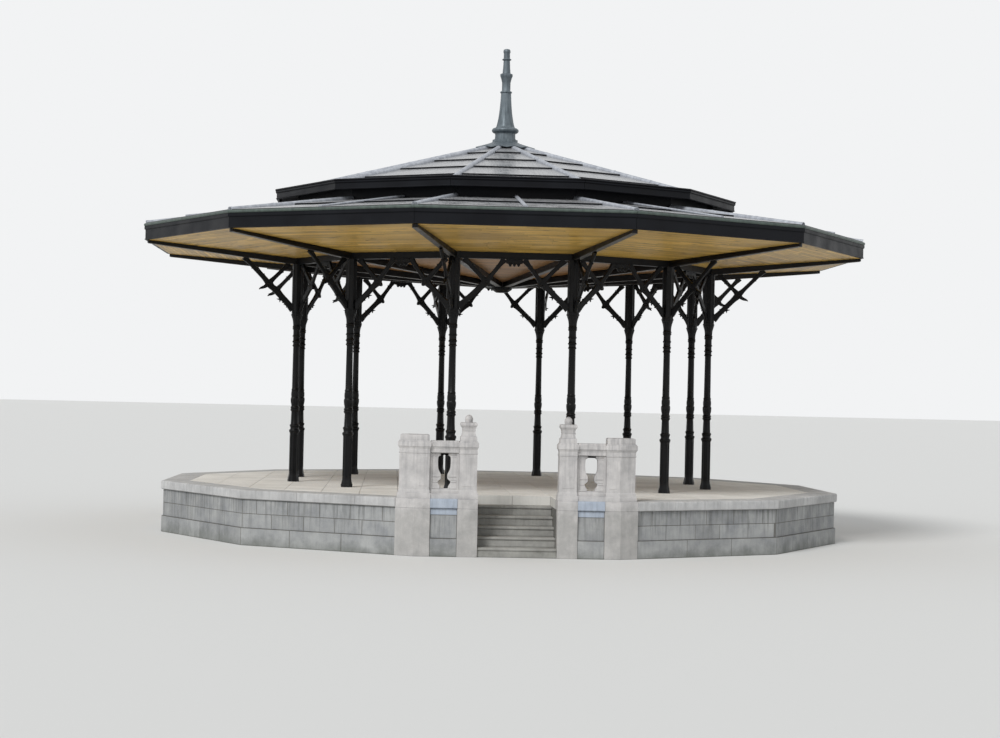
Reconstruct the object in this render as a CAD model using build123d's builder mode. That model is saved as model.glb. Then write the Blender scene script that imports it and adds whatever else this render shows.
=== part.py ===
from build123d import *
import os
from math import asin, atan2, cos, degrees, hypot, radians, sin, sqrt, tan

os.makedirs("parts", exist_ok=True)

# The plan is a regular polygon about the Z axis, with a side square to the stair, which faces -Y.
# Radii named so are measured to the corners; apothems are measured square to a side.
sides = 12
turn = 360 / sides
half_turn = turn / 2
stair_angle = -90
corner_start = stair_angle + half_turn


def apothem_of(radius):
    return radius * cos(radians(half_turn))


def radius_of(apothem):
    return apothem / cos(radians(half_turn))


def half_side_at(apothem):
    return apothem * tan(radians(half_turn))


# Driving sizes of the platform, in millimetres
riser = 160
tread = 300
step_count = 5
floor_level = riser * (step_count + 1)
platform_radius = 6680
coping_height = 160
coping_width = 520
coping_nosing = 50
coping_chamfer = 25
base_course_height = 300
base_course_proud = 28
stone_joint = 6

# Driving sizes of the stair and its balustrade
stair_width = 1330
nosing_height = 45
nosing_proud = 20
newel_width = 296
corner_near_reach = 226
corner_far_reach = 320
balustrade_depth = 300
panel_depth = 170
panel_band_depth = 220
panel_rail_depth = 270
balustrade_setback = 30
pier_proud = 40
pier_bond = 200
base_block_height = 90
base_block_proud = 22
die_foot_height = 60
die_foot_proud = 10
rail_rise = 860
rail_height = 104
rail_proud = 22
neck_band_height = 110
neck_band_proud = 8
cap_block_height = 100
cap_block_inset = 6

# Driving sizes of the ironwork
column_ring_radius = 4145
capital_rise = 3230
post_width = 200
pedestal_width = 164
column_sides = 8
shaft_foot_width = 140
shaft_head_width = 126
capital_width = 216
beam_width = 100
beam_depth = 111
strut_depth = 106
arm_depth = 80
bar_thickness = 48
knot_radius = 108
knot_thickness = 72

# Driving sizes of the ceiling and its ribs
eave_radius = 7090
ceiling_eave_rise = 4530
ceiling_fall = 0.0805
board_thickness = 25
rib_width = 90
rib_depth_at_ring = 120
rib_depth_at_hub = 100
rib_depth_at_eave = 50
hub_radius = 200
hub_drop = 180

# Driving sizes of the two roofs
fascia_thickness = 40
lower_fascia_height = 270
lower_roof_rise = 510
upper_eave_radius = 4600
upper_fascia_rise = 290
upper_fascia_height = 170
upper_gutter_drop = 105
upper_roof_rise = 1292
roof_thickness = 50
course_step = 28
lower_courses = 2
lower_first_course = 1
upper_courses = 5
upper_first_course = 0.7
clerestory_thickness = 50
hip_width = 96
hip_roll_rise = 42
hip_chamfer = 27
edge_width = 30
lower_edge_height = 54
upper_edge_height = 36
edge_lap = 14
finial_base_radius = 250
finial_base_rise = 63

# Places that follow from them
platform_apothem = apothem_of(platform_radius)
wall_apothem = platform_apothem - coping_nosing
coping_bottom = floor_level - coping_height
well_depth = tread * step_count
ring_apothem = apothem_of(column_ring_radius)
half_bay = column_ring_radius * sin(radians(half_turn))
eave_apothem = apothem_of(eave_radius)
upper_eave_apothem = apothem_of(upper_eave_radius)
fascia_inner_apothem = eave_apothem - fascia_thickness
upper_fascia_inner = upper_eave_apothem - fascia_thickness
clerestory_outer = ring_apothem + clerestory_thickness / 2
clerestory_inner = ring_apothem - clerestory_thickness / 2
capital_top = floor_level + capital_rise
ceiling_eave_height = floor_level + ceiling_eave_rise
lower_roof_foot = ceiling_eave_height + lower_fascia_height
lower_roof_head = lower_roof_foot + lower_roof_rise
upper_fascia_top = lower_roof_head + upper_fascia_rise
upper_roof_foot = upper_fascia_top - upper_gutter_drop
upper_roof_head = upper_roof_foot + upper_roof_rise
finial_base_top = upper_roof_head + finial_base_rise
lower_roof_fall = (lower_roof_rise - roof_thickness) / (eave_apothem - clerestory_outer)
upper_roof_fall = (upper_roof_rise - roof_thickness) / upper_eave_apothem
newel_centre = stair_width / 2 + base_block_proud + newel_width / 2
balustrade_apothem = wall_apothem - balustrade_setback
panel_start = newel_centre + newel_width / 2
panel_end = half_side_at(balustrade_apothem) - corner_near_reach
pier_far_end = half_side_at(balustrade_apothem) - corner_far_reach
panel_width = panel_end - panel_start
panel_centre = (panel_start + panel_end) / 2


# Underside of the boards, of the lower roof and of the upper roof, above a place at this apothem
def ceiling_height(apothem):
    return ceiling_eave_height - ceiling_fall * (eave_apothem - apothem)


def lower_roof_underside(apothem):
    return lower_roof_foot + lower_roof_fall * (eave_apothem - apothem)


def upper_roof_underside(apothem):
    return upper_roof_foot + upper_roof_fall * (upper_eave_apothem - apothem)


post_top = ceiling_height(ring_apothem) - beam_depth
hub_bottom = ceiling_height(0) - hub_drop


# One piece for each side of the polygon: its section runs along the side and is mitred at both
# ends, each end standing clear of the corner by half the joint, rib or hip that lies there.
def build_sides(section, corner_gap):
    with BuildPart() as side:
        with BuildSketch(Plane.XZ):
            with BuildLine():
                Polyline(*section, close=True)
            make_face()
        extrude(amount=eave_radius * sin(radians(half_turn)) * 1.2, both=True)
        for hand in (1, -1):
            across = Vector(-sin(radians(half_turn)), hand * cos(radians(half_turn)), 0)
            mitre = Plane(origin=across * (-corner_gap / 2), z_dir=across)
            split(bisect_by=mitre, keep=Keep.BOTTOM)
    with BuildPart() as ring:
        with PolarLocations(0, sides, start_angle=stair_angle):
            add(side.part)
    return ring.part


# The section of a roof of overlapping courses, from the eave up: each course laps the one below,
# and the first one may be shorter than the others
def roof_section(foot, head, underside, courses, first_share):
    run = (foot - head) / (courses - 1 + first_share)
    line = [(head, underside(head)), (foot, underside(foot)), (foot, underside(foot) + roof_thickness)]
    for course in range(1, courses):
        lap = head + run * (courses - course)
        line.append((lap, underside(lap) + roof_thickness - course_step))
        line.append((lap, underside(lap) + roof_thickness))
    line.append((head, underside(head) + roof_thickness - course_step))
    return line


# One straight bar of a bracket, drawn in the sketch that is open
def bar(start, end, depth):
    across, up = end[0] - start[0], end[1] - start[1]
    with Locations(Location(((start[0] + end[0]) / 2, (start[1] + end[1]) / 2), degrees(atan2(up, across)))):
        Rectangle(hypot(across, up), depth)


# The end of a bar, carried on past its seat so that it can be cut to it
def extended(start, end):
    length = hypot(end[0] - start[0], end[1] - start[1])
    return tuple(end[axis] + (end[axis] - start[axis]) / length * arm_depth for axis in (0, 1))


# A piece moulded on flat sides: each stage runs from one height and width across flats to the next,
# and two stages at one height leave a ledge. A stage that widens upward is drawn upside down.
def moulded(stages, side_count):
    with BuildPart() as stack:
        for (low, low_width), (high, high_width) in zip(stages, stages[1:]):
            if high > low:
                widens = high_width > low_width
                with BuildPart(mode=Mode.PRIVATE) as stage:
                    with BuildSketch():
                        RegularPolygon(
                            max(low_width, high_width) / 2,
                            side_count,
                            major_radius=False,
                            rotation=180 / side_count,
                        )
                    extrude(amount=high - low, taper=degrees(atan2(abs(high_width - low_width) / 2, high - low)))
                with Locations(Location((0, 0, high), (180, 0, 0)) if widens else Location((0, 0, low))):
                    add(stage.part)
    return stack.part


# Stair well, cut through paving, coping and plinth, open to the front
with BuildPart() as stair_well:
    with BuildSketch(Plane.XY):
        with Locations((0, -wall_apothem + well_depth)):
            Rectangle(stair_width, well_depth + platform_radius, align=(Align.CENTER, Align.MAX))
    extrude(amount=floor_level)

# Stone piers under the newels and under the corner piers, bonded into the plinth
with BuildPart() as newel_foot:
    with BuildSketch(Plane.XY):
        foot_front = -wall_apothem - pier_proud
        foot_width = newel_width + 2 * base_block_proud
        with Locations((newel_centre, foot_front), (-newel_centre, foot_front)):
            Rectangle(foot_width, pier_proud + pier_bond, align=(Align.CENTER, Align.MIN))
    extrude(amount=coping_bottom)


# Plan of a pier that turns a corner of the platform, for the corner on the +X axis. Its near end
# stands at the panel and its far end round the corner, both cut square to their sides.
def corner_plan(face_apothem, depth, end_proud):
    ends = []
    for hand, end in ((1, pier_far_end), (-1, panel_end)):
        along = Vector(-sin(radians(half_turn)), hand * cos(radians(half_turn)))
        inward = Vector(-cos(radians(half_turn)), -hand * sin(radians(half_turn)))
        outer = Vector(radius_of(face_apothem), 0) + along * (half_side_at(face_apothem) - end + end_proud)
        ends.append([outer, outer + inward * depth])
    (far_outer, far_inner), (near_outer, near_inner) = ends
    corner, inner_corner = Vector(radius_of(face_apothem), 0), Vector(radius_of(face_apothem - depth), 0)
    return [corner, far_outer, far_inner, inner_corner, near_inner, near_outer]


with BuildPart() as corner_foot:
    with BuildSketch(Plane.XY):
        with BuildLine():
            Polyline(
                *corner_plan(wall_apothem + pier_proud, pier_proud + pier_bond, base_block_proud),
                close=True,
            )
        make_face()
    extrude(amount=coping_bottom)

with BuildPart() as plinth_piers:
    add(newel_foot.part)
    with PolarLocations(0, 1, start_angle=corner_start):
        add(corner_foot.part)
    mirror(about=Plane.YZ)
plinth_piers.part.label = "plinth_piers"
export_step(plinth_piers.part, "parts/plinth_piers.step")

# Plinth: one mass of masonry with a projecting base course
with BuildPart() as plinth:
    with BuildSketch(Plane.XY):
        RegularPolygon(radius_of(wall_apothem + base_course_proud), sides, rotation=half_turn)
    extrude(amount=base_course_height)
    with BuildSketch(Plane.XY.offset(base_course_height)):
        RegularPolygon(radius_of(wall_apothem), sides, rotation=half_turn)
    extrude(amount=coping_bottom - base_course_height)
    add(stair_well.part, mode=Mode.SUBTRACT)
    add(plinth_piers.part, mode=Mode.SUBTRACT)
plinth.part.label = "plinth_mass"
export_step(plinth.part, "parts/plinth_mass.step")

# Coping: a stone for each side, with its nosing chamfered, open where the stair comes up
coping_inner = platform_apothem - coping_width
coping_section = [
    (coping_inner, coping_bottom),
    (platform_apothem - coping_chamfer, coping_bottom),
    (platform_apothem, coping_bottom + coping_chamfer),
    (platform_apothem, floor_level - coping_chamfer),
    (platform_apothem - coping_chamfer, floor_level),
    (coping_inner, floor_level),
]
with BuildPart() as coping:
    add(build_sides(coping_section, stone_joint))
    add(stair_well.part, mode=Mode.SUBTRACT)
coping.part.label = "coping_stones"
export_step(coping.part, "parts/coping_stones.step")

# Floor inside the coping
with BuildPart() as paving:
    with BuildSketch(Plane.XY.offset(coping_bottom)):
        RegularPolygon(radius_of(coping_inner), sides, rotation=half_turn)
    extrude(amount=coping_height)
    add(stair_well.part, mode=Mode.SUBTRACT)
paving.part.label = "floor_paving"
export_step(paving.part, "parts/floor_paving.step")

# Stair: stone steps laid one on another, each with a nosing
for number in range(1, step_count + 1):
    front = -wall_apothem + tread * (number - 1)
    back = -wall_apothem + well_depth
    foot = riser * (number - 1)
    with BuildPart() as step:
        with BuildSketch(Plane.YZ):
            with BuildLine():
                Polyline(
                    (front, foot),
                    (front, foot + riser - nosing_height),
                    (front - nosing_proud, foot + riser - nosing_height),
                    (front - nosing_proud, foot + riser),
                    (back, foot + riser),
                    (back, foot),
                    close=True,
                )
            make_face()
        extrude(amount=stair_width / 2, both=True)
    step.part.label = f"stair_step_{number}"
    export_step(step.part, f"parts/stair_step_{number}.step")

# Heights and projections shared by piers, newels and panels: base block, die foot, die, neck band, rail
die_bottom = floor_level + base_block_height
rail_underside = floor_level + rail_rise
rail_top = rail_underside + rail_height
neck_band_bottom = rail_underside - neck_band_height
pier_levels = [
    (floor_level, die_bottom, base_block_proud),
    (die_bottom, die_bottom + die_foot_height, die_foot_proud),
    (die_bottom + die_foot_height, neck_band_bottom, 0),
    (neck_band_bottom, rail_underside, neck_band_proud),
    (rail_underside, rail_top, rail_proud),
]
cap_block = (rail_top, rail_top + cap_block_height, -cap_block_inset)

# Corner piers at both ends of the stair side, bent to follow the platform
with BuildPart() as corner_pier:
    for low, high, proud in pier_levels + [cap_block]:
        plan = corner_plan(balustrade_apothem + proud, balustrade_depth + 2 * proud, proud)
        with BuildSketch(Plane.XY.offset(low)):
            with BuildLine():
                Polyline(*plan, close=True)
            make_face()
        extrude(amount=high - low)
with BuildPart() as pier_right:
    with PolarLocations(0, 1, start_angle=corner_start):
        add(corner_pier.part)
pier_right.part.label = "corner_pier_right"
export_step(pier_right.part, "parts/corner_pier_right.step")
with BuildPart() as pier_left:
    mirror(pier_right.part, about=Plane.YZ)
pier_left.part.label = "corner_pier_left"
export_step(pier_left.part, "parts/corner_pier_left.step")

# Newels beside the stair: pedestal, block, waisted cap under a slab, and a ball on a short neck
cap_foot_height = 80
cap_die_height = 88
cap_flare_height = 92
cap_slab_height = 52
cap_foot_width = 278
cap_die_foot_width = 240
cap_waist_width = 212
cap_slab_width = 284
cap_die_foot = rail_top + cap_foot_height
cap_waist = cap_die_foot + cap_die_height
cap_slab_bottom = cap_waist + cap_flare_height
cap_slab_top = cap_slab_bottom + cap_slab_height
cap_stages = [
    (rail_top, cap_foot_width),
    (cap_die_foot, cap_foot_width),
    (cap_die_foot, cap_die_foot_width),
    (cap_waist, cap_waist_width),
    (cap_slab_bottom, cap_slab_width),
    (cap_slab_top, cap_slab_width),
]
ball_radius = 60
ball_neck_radius = 44
ball_neck_height = 28
ball_tip_width = 8
ball_bands = 8
newel_middle = -balustrade_apothem + balustrade_depth / 2
ball_foot = degrees(-asin(sqrt(1 - (ball_neck_radius / ball_radius) ** 2)))
ball_middle = ball_neck_height - ball_radius * sin(radians(ball_foot))
ball_stages = [(0, 2 * ball_neck_radius)]
for band in range(ball_bands):
    climb = radians(ball_foot + (90 - ball_foot) * band / ball_bands)
    ball_stages.append((ball_middle + ball_radius * sin(climb), 2 * ball_radius * cos(climb)))
ball_stages.append((ball_middle + ball_radius, ball_tip_width))
with BuildPart() as newel:
    for low, high, proud in pier_levels:
        with BuildSketch(Plane((newel_centre, newel_middle, low))):
            Rectangle(newel_width + 2 * proud, balustrade_depth + 2 * proud)
        extrude(amount=high - low)
    with Locations((newel_centre, newel_middle, 0)):
        add(moulded(cap_stages, 4))
    with Locations((newel_centre, newel_middle, cap_slab_top)):
        add(moulded(ball_stages, sides))
newel.part.label = "newel_right"
export_step(newel.part, "parts/newel_right.step")
with BuildPart() as newel_left:
    mirror(newel.part, about=Plane.YZ)
newel_left.part.label = "newel_left"
export_step(newel_left.part, "parts/newel_left.step")

# Panels between newel and corner pier, pierced by a vase-shaped opening. Heights from the die's foot.
vase_bottom = die_bottom + 76
vase_stem_height = 30
vase_lip_height = 106
vase_neck_foot_height = 170
vase_neck_head_height = 62
vase_body_foot_height = 124
vase_body_height = 170
vase_shoulder_height = 26
vase_collar_height = 44
vase_end_half = 66
vase_stem_half = 70
vase_lip_half = 107
vase_neck_half = 54
vase_body_half = 103
vase_collar_half = 60
vase_curve = 12
vase_stem = vase_bottom + vase_stem_height
vase_lip = vase_bottom + vase_lip_height
vase_neck_foot = vase_bottom + vase_neck_foot_height
vase_neck_head = vase_neck_foot + vase_neck_head_height
vase_body_foot = vase_neck_head + vase_body_foot_height
vase_body_head = vase_body_foot + vase_body_height
vase_shoulder = vase_body_head + vase_shoulder_height
vase_top = vase_shoulder + vase_collar_height
panel_middle = -balustrade_apothem + balustrade_depth / 2
panel_depths = [balustrade_depth, panel_depth, panel_depth, panel_band_depth, panel_rail_depth]
with BuildPart() as panel:
    for (low, high, proud), depth in zip(pier_levels, panel_depths):
        with BuildSketch(Plane((panel_centre, panel_middle, low))):
            Rectangle(panel_width - 2 * proud, depth)
        extrude(amount=high - low)
    with BuildSketch(Plane((panel_centre, panel_middle, 0), x_dir=(1, 0, 0), z_dir=(0, -1, 0))):
        with BuildLine():
            foot_line = Polyline(
                (0, vase_bottom), (vase_end_half, vase_bottom), (vase_stem_half, vase_stem)
            )
            lip_curve = ThreePointArc(
                foot_line @ 1,
                ((vase_stem_half + vase_lip_half - vase_curve) / 2, (vase_stem + vase_lip) / 2),
                (vase_lip_half, vase_lip),
            )
            neck_curve = ThreePointArc(
                lip_curve @ 1,
                ((vase_lip_half + vase_neck_half) / 2 - vase_curve, (vase_lip + vase_neck_foot) / 2),
                (vase_neck_half, vase_neck_foot),
            )
            neck_line = Line(neck_curve @ 1, (vase_neck_half, vase_neck_head))
            body_curve = ThreePointArc(
                neck_line @ 1,
                ((vase_neck_half + vase_body_half) / 2 + vase_curve, (vase_neck_head + vase_body_foot) / 2),
                (vase_body_half, vase_body_foot),
            )
            Polyline(
                body_curve @ 1,
                (vase_body_half, vase_body_head),
                (vase_collar_half, vase_shoulder),
                (vase_collar_half, vase_top),
                (0, vase_top),
                (0, vase_bottom),
            )
        make_face()
        mirror(about=Plane.YZ)
    extrude(amount=panel_depth * 2, both=True, mode=Mode.SUBTRACT)
panel.part.label = "pierced_panel_right"
export_step(panel.part, "parts/pierced_panel_right.step")
with BuildPart() as panel_left:
    mirror(panel.part, about=Plane.YZ)
panel_left.part.label = "pierced_panel_left"
export_step(panel_left.part, "parts/pierced_panel_left.step")

# Cast iron column: octagonal pedestal, ringed shaft with a bulb, bell capital and square-set post
foot_height = 50
foot_width = 210
foot_flare = 150
pedestal_top = 950
lower_ring_top = 1000
waist_top = 1360
waist_head_width = 140
upper_ring_top = 1440
ring_proud = 32
bulb_middle = 1590
bulb_top = 1780
bulb_width = 168
annulet_bottom = 2620
annulet_top = 2700
annulet_width = 160
neck_width = 136
collar_bottom = 2930
collar_top = 3000
abacus_height = 36
column_stages = [
    (0, foot_width),
    (foot_height, foot_width),
    (foot_flare, pedestal_width),
    (pedestal_top, pedestal_width),
    (pedestal_top, pedestal_width + ring_proud),
    (lower_ring_top, pedestal_width + ring_proud),
    (lower_ring_top, pedestal_width),
    (waist_top, waist_head_width),
    (waist_top, waist_head_width + ring_proud),
    (upper_ring_top, waist_head_width + ring_proud),
    (upper_ring_top, shaft_foot_width),
    (bulb_middle, bulb_width),
    (bulb_top, shaft_foot_width),
    (annulet_bottom, shaft_head_width),
    (annulet_bottom, annulet_width),
    (annulet_top, annulet_width),
    (annulet_top, neck_width),
    (collar_bottom, neck_width),
    (collar_top, annulet_width),
    (capital_top - floor_level - abacus_height, capital_width),
    (capital_top - floor_level, capital_width),
    (capital_top - floor_level, post_width),
    (post_top - floor_level, post_width),
]
with BuildPart() as column:
    with Locations((0, 0, floor_level)):
        add(moulded(column_stages, column_sides))
for number in range(sides):
    with BuildPart() as standing_column:
        with PolarLocations(column_ring_radius, 1, start_angle=corner_start - turn - turn * number):
            add(column.part)
    standing_column.part.label = f"column_{number + 1:02d}"
    export_step(standing_column.part, f"parts/column_{number + 1:02d}.step")

with BuildPart() as all_columns:
    with PolarLocations(column_ring_radius, sides, start_angle=corner_start):
        add(column.part)

# Fascia boards of the lower roof, their top edge cut to the roof
lower_fascia_section = [
    (fascia_inner_apothem, ceiling_eave_height),
    (eave_apothem, ceiling_eave_height),
    (eave_apothem, lower_roof_underside(eave_apothem)),
    (fascia_inner_apothem, lower_roof_underside(fascia_inner_apothem)),
]
with BuildPart() as lower_fascia:
    add(build_sides(lower_fascia_section, stone_joint))
lower_fascia.part.label = "lower_fascia"
export_step(lower_fascia.part, "parts/lower_fascia.step")

# Hub under the middle of the ceiling, with a moulded pendant
hub_boss_width = 220
hub_pendant_height = 60
hub_top = ceiling_height(hub_radius) + board_thickness
hub_stages = [
    (hub_bottom, hub_boss_width),
    (hub_bottom + hub_pendant_height, 2 * hub_radius),
    (hub_top, 2 * hub_radius),
]
with BuildPart() as hub:
    add(moulded(hub_stages, sides))
hub.part.label = "ceiling_hub"
export_step(hub.part, "parts/ceiling_hub.step")

# Ribs under the corners of the ceiling, from the hub to the fascia, notched flat over each post
rib_head_at_ring = ceiling_height(ring_apothem) - rib_depth_at_ring
rib_head_at_eave = ceiling_eave_height - rib_depth_at_eave


def rib_underside(radius):
    share = (radius - column_ring_radius) / (eave_radius - column_ring_radius)
    return rib_head_at_ring + share * (rib_head_at_eave - rib_head_at_ring)


with BuildPart() as rib:
    with BuildSketch(Plane.XZ):
        with BuildLine():
            Polyline(
                (0, ceiling_height(0)),
                (eave_radius, ceiling_eave_height),
                (eave_radius, rib_underside(eave_radius)),
                (column_ring_radius, rib_underside(column_ring_radius)),
                (0, ceiling_height(0) - rib_depth_at_hub),
                close=True,
            )
        make_face()
    extrude(amount=rib_width / 2, both=True)
    with BuildSketch(Plane((column_ring_radius, 0, post_top))):
        Rectangle(post_width, rib_width)
    extrude(amount=-rib_depth_at_ring, mode=Mode.SUBTRACT)
with BuildPart() as ribs:
    with PolarLocations(0, sides, start_angle=corner_start):
        add(rib.part)
    add(hub.part, mode=Mode.SUBTRACT)
    add(lower_fascia.part, mode=Mode.SUBTRACT)
    with BuildSketch(Plane.XY):
        Circle(eave_radius + edge_width)
        RegularPolygon(radius_of(fascia_inner_apothem), sides, rotation=half_turn, mode=Mode.SUBTRACT)
    extrude(amount=lower_roof_head, mode=Mode.SUBTRACT)
ribs.part.label = "ceiling_ribs"
export_step(ribs.part, "parts/ceiling_ribs.step")

# Beams between the ribs, resting on the posts
beam_inner = ring_apothem - beam_width / 2
beam_outer = ring_apothem + beam_width / 2
beam_section = [
    (beam_inner, post_top),
    (beam_outer, post_top),
    (beam_outer, ceiling_height(beam_outer)),
    (beam_inner, ceiling_height(beam_inner)),
]
with BuildPart() as beams:
    add(build_sides(beam_section, rib_width))
beams.part.label = "ring_beams"
export_step(beams.part, "parts/ring_beams.step")

# Brackets in the ring of columns: a strut from the capital to a knot, and from the knot one arm up to
# the middle of the beam and a brace back to the post
knot_reach = 573
knot_rise = 542
strut_foot = (-half_bay, capital_top)
knot = (-half_bay + knot_reach, capital_top + knot_rise)
strut_head = (-178, post_top)
brace_head = (-half_bay + 172, post_top)
bay_plane = Plane(origin=(ring_apothem, 0, 0), x_dir=(0, 1, 0), z_dir=(1, 0, 0))
with BuildPart() as ring_bracket:
    with BuildSketch(bay_plane):
        bar(strut_foot, knot, strut_depth)
        bar(knot, extended(knot, strut_head), arm_depth)
        bar(knot, extended(knot, brace_head), arm_depth)
    extrude(amount=bar_thickness / 2, both=True)
    with BuildSketch(bay_plane):
        with Locations(knot):
            RegularPolygon(knot_radius, 8)
    extrude(amount=knot_thickness / 2, both=True)
    split(bisect_by=Plane.XY.offset(post_top), keep=Keep.BOTTOM)
    mirror(about=Plane.XZ)
with BuildPart() as ring_brackets:
    with PolarLocations(0, sides, start_angle=stair_angle):
        add(ring_bracket.part)
    add(all_columns.part, mode=Mode.SUBTRACT)
ring_brackets.part.label = "ring_brackets"
export_step(ring_brackets.part, "parts/ring_brackets.step")

# Scalloped ornament under the middle of each beam, between the heads of the two struts
scallop_half_width = 150
scallop_plate = 84
scallop_cusp = 96
scallop_depth = 140
with BuildPart() as fleuron:
    with BuildSketch(bay_plane):
        with BuildLine():
            Polyline(
                (0, post_top - scallop_depth),
                (scallop_half_width / 6, post_top - scallop_cusp),
                (scallop_half_width / 3, post_top - scallop_cusp),
                (scallop_half_width / 2, post_top - scallop_depth),
                (scallop_half_width * 2 / 3, post_top - scallop_cusp),
                (scallop_half_width, post_top - scallop_plate),
                (scallop_half_width, post_top),
                (0, post_top),
                close=True,
            )
        make_face()
        mirror(about=Plane.YZ)
    extrude(amount=bar_thickness / 2, both=True)
with BuildPart() as fleurons:
    with PolarLocations(0, sides, start_angle=stair_angle):
        add(fleuron.part)
    add(ring_brackets.part, mode=Mode.SUBTRACT)
fleurons.part.label = "beam_fleurons"
export_step(fleurons.part, "parts/beam_fleurons.step")

# Brackets under the eave: a strut from the capital out to the rib, a brace back, a leaf at the knot
eave_strut_reach = 1055
eave_brace_reach = 175
eave_knot_reach = 570
eave_knot_rise = 573
eave_strut_foot = (column_ring_radius, capital_top)
eave_strut_end = column_ring_radius + eave_strut_reach
eave_brace_end = column_ring_radius + eave_brace_reach
eave_strut_head = (eave_strut_end, rib_underside(eave_strut_end))
eave_brace_head = (eave_brace_end, rib_underside(eave_brace_end))
eave_knot = (column_ring_radius + eave_knot_reach, capital_top + eave_knot_rise)
leaf_reach = 190
leaf_drop = 125
leaf_half_width = 34
with BuildPart() as eave_bracket:
    with BuildSketch(Plane.XZ):
        bar(eave_strut_foot, eave_knot, strut_depth)
        bar(eave_knot, extended(eave_knot, eave_strut_head), arm_depth)
        bar(eave_knot, extended(eave_knot, eave_brace_head), arm_depth)
        with BuildLine():
            Polyline(
                (eave_knot[0] - leaf_half_width, eave_knot[1] - leaf_half_width),
                (eave_knot[0] + leaf_reach, eave_knot[1] - leaf_drop),
                (eave_knot[0] + leaf_half_width, eave_knot[1] + leaf_half_width),
                close=True,
            )
        make_face()
    extrude(amount=bar_thickness / 2, both=True)
    with BuildSketch(Plane.XZ):
        with Locations(eave_knot):
            RegularPolygon(knot_radius, 8)
    extrude(amount=knot_thickness / 2, both=True)
    add(rib.part, mode=Mode.SUBTRACT)
with BuildPart() as eave_brackets:
    with PolarLocations(0, sides, start_angle=corner_start):
        add(eave_bracket.part)
    add(all_columns.part, mode=Mode.SUBTRACT)
eave_brackets.part.label = "eave_brackets"
export_step(eave_brackets.part, "parts/eave_brackets.step")

# Boarding: outside the ring of beams it is the soffit, inside it the ceiling
def boarding_section(inner, outer):
    return [
        (inner, ceiling_height(inner)),
        (outer, ceiling_height(outer)),
        (outer, ceiling_height(outer) + board_thickness),
        (inner, ceiling_height(inner) + board_thickness),
    ]


with BuildPart() as soffit:
    add(build_sides(boarding_section(ring_apothem, fascia_inner_apothem), stone_joint))
soffit.part.label = "soffit_boards"
export_step(soffit.part, "parts/soffit_boards.step")

with BuildPart() as ceiling:
    add(build_sides(boarding_section(hub_radius / 2, ring_apothem), stone_joint))
    add(hub.part, mode=Mode.SUBTRACT)
ceiling.part.label = "ceiling_boards"
export_step(ceiling.part, "parts/ceiling_boards.step")

# Boards that stand over the beams and carry the raised upper roof
clerestory_section = [
    (clerestory_inner, ceiling_height(clerestory_inner) + board_thickness),
    (clerestory_outer, ceiling_height(clerestory_outer) + board_thickness),
    (clerestory_outer, upper_roof_underside(clerestory_outer)),
    (clerestory_inner, upper_roof_underside(clerestory_inner)),
]
with BuildPart() as clerestory:
    add(build_sides(clerestory_section, stone_joint))
clerestory.part.label = "clerestory_boards"
export_step(clerestory.part, "parts/clerestory_boards.step")

# Sheet metal roofs in overlapping courses on their boarding
lower_section = roof_section(
    eave_apothem, clerestory_outer, lower_roof_underside, lower_courses, lower_first_course
)
with BuildPart() as lower_roof:
    add(build_sides(lower_section, hip_width))
lower_roof.part.label = "lower_roof"
export_step(lower_roof.part, "parts/lower_roof.step")

# Base of the finial, let into the head of the upper roof
finial_base_foot = upper_roof_underside(finial_base_radius)
with BuildPart() as finial_base:
    base_width = 2 * finial_base_radius
    add(moulded([(finial_base_foot, base_width), (finial_base_top, base_width)], sides))
finial_base.part.label = "finial_base"
export_step(finial_base.part, "parts/finial_base.step")

upper_section = roof_section(
    upper_fascia_inner, finial_base_radius * 0.9, upper_roof_underside, upper_courses, upper_first_course
)
with BuildPart() as upper_roof:
    add(build_sides(upper_section, hip_width))
    add(finial_base.part, mode=Mode.SUBTRACT)
upper_roof.part.label = "upper_roof"
export_step(upper_roof.part, "parts/upper_roof.step")


# A rounded roll between two sides of a roof, from its eave corner to its head
def hip_roll(foot_radius, head_radius, underside):
    def top(radius):
        return underside(apothem_of(radius)) + roof_thickness + hip_roll_rise

    with BuildPart() as roll:
        with BuildSketch(Plane.XZ):
            with BuildLine():
                Polyline(
                    (foot_radius, underside(apothem_of(foot_radius))),
                    (foot_radius, top(foot_radius)),
                    (head_radius, top(head_radius)),
                    (head_radius, underside(apothem_of(head_radius))),
                    close=True,
                )
            make_face()
        extrude(amount=hip_width / 2, both=True)
        chamfer(roll.faces().sort_by(Axis.Z)[-1].edges().filter_by(Plane.XZ), hip_chamfer)
    return roll.part


with BuildPart() as lower_hips:
    with PolarLocations(0, sides, start_angle=corner_start):
        add(hip_roll(eave_radius, column_ring_radius, lower_roof_underside))
    with BuildSketch(Plane.XY):
        RegularPolygon(eave_radius, sides, rotation=half_turn)
        RegularPolygon(radius_of(clerestory_outer), sides, rotation=half_turn, mode=Mode.SUBTRACT)
    extrude(amount=upper_roof_head, mode=Mode.INTERSECT)
lower_hips.part.label = "lower_hip_rolls"
export_step(lower_hips.part, "parts/lower_hip_rolls.step")

with BuildPart() as upper_hips:
    with PolarLocations(0, sides, start_angle=corner_start):
        add(hip_roll(upper_eave_radius, finial_base_radius * 0.9, upper_roof_underside))
    with BuildSketch(Plane.XY):
        RegularPolygon(radius_of(upper_fascia_inner), sides, rotation=half_turn)
        RegularPolygon(radius_of(finial_base_radius), sides, rotation=half_turn, mode=Mode.SUBTRACT)
    extrude(amount=upper_roof_head * 2, mode=Mode.INTERSECT)
upper_hips.part.label = "upper_hip_rolls"
export_step(upper_hips.part, "parts/upper_hip_rolls.step")

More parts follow.
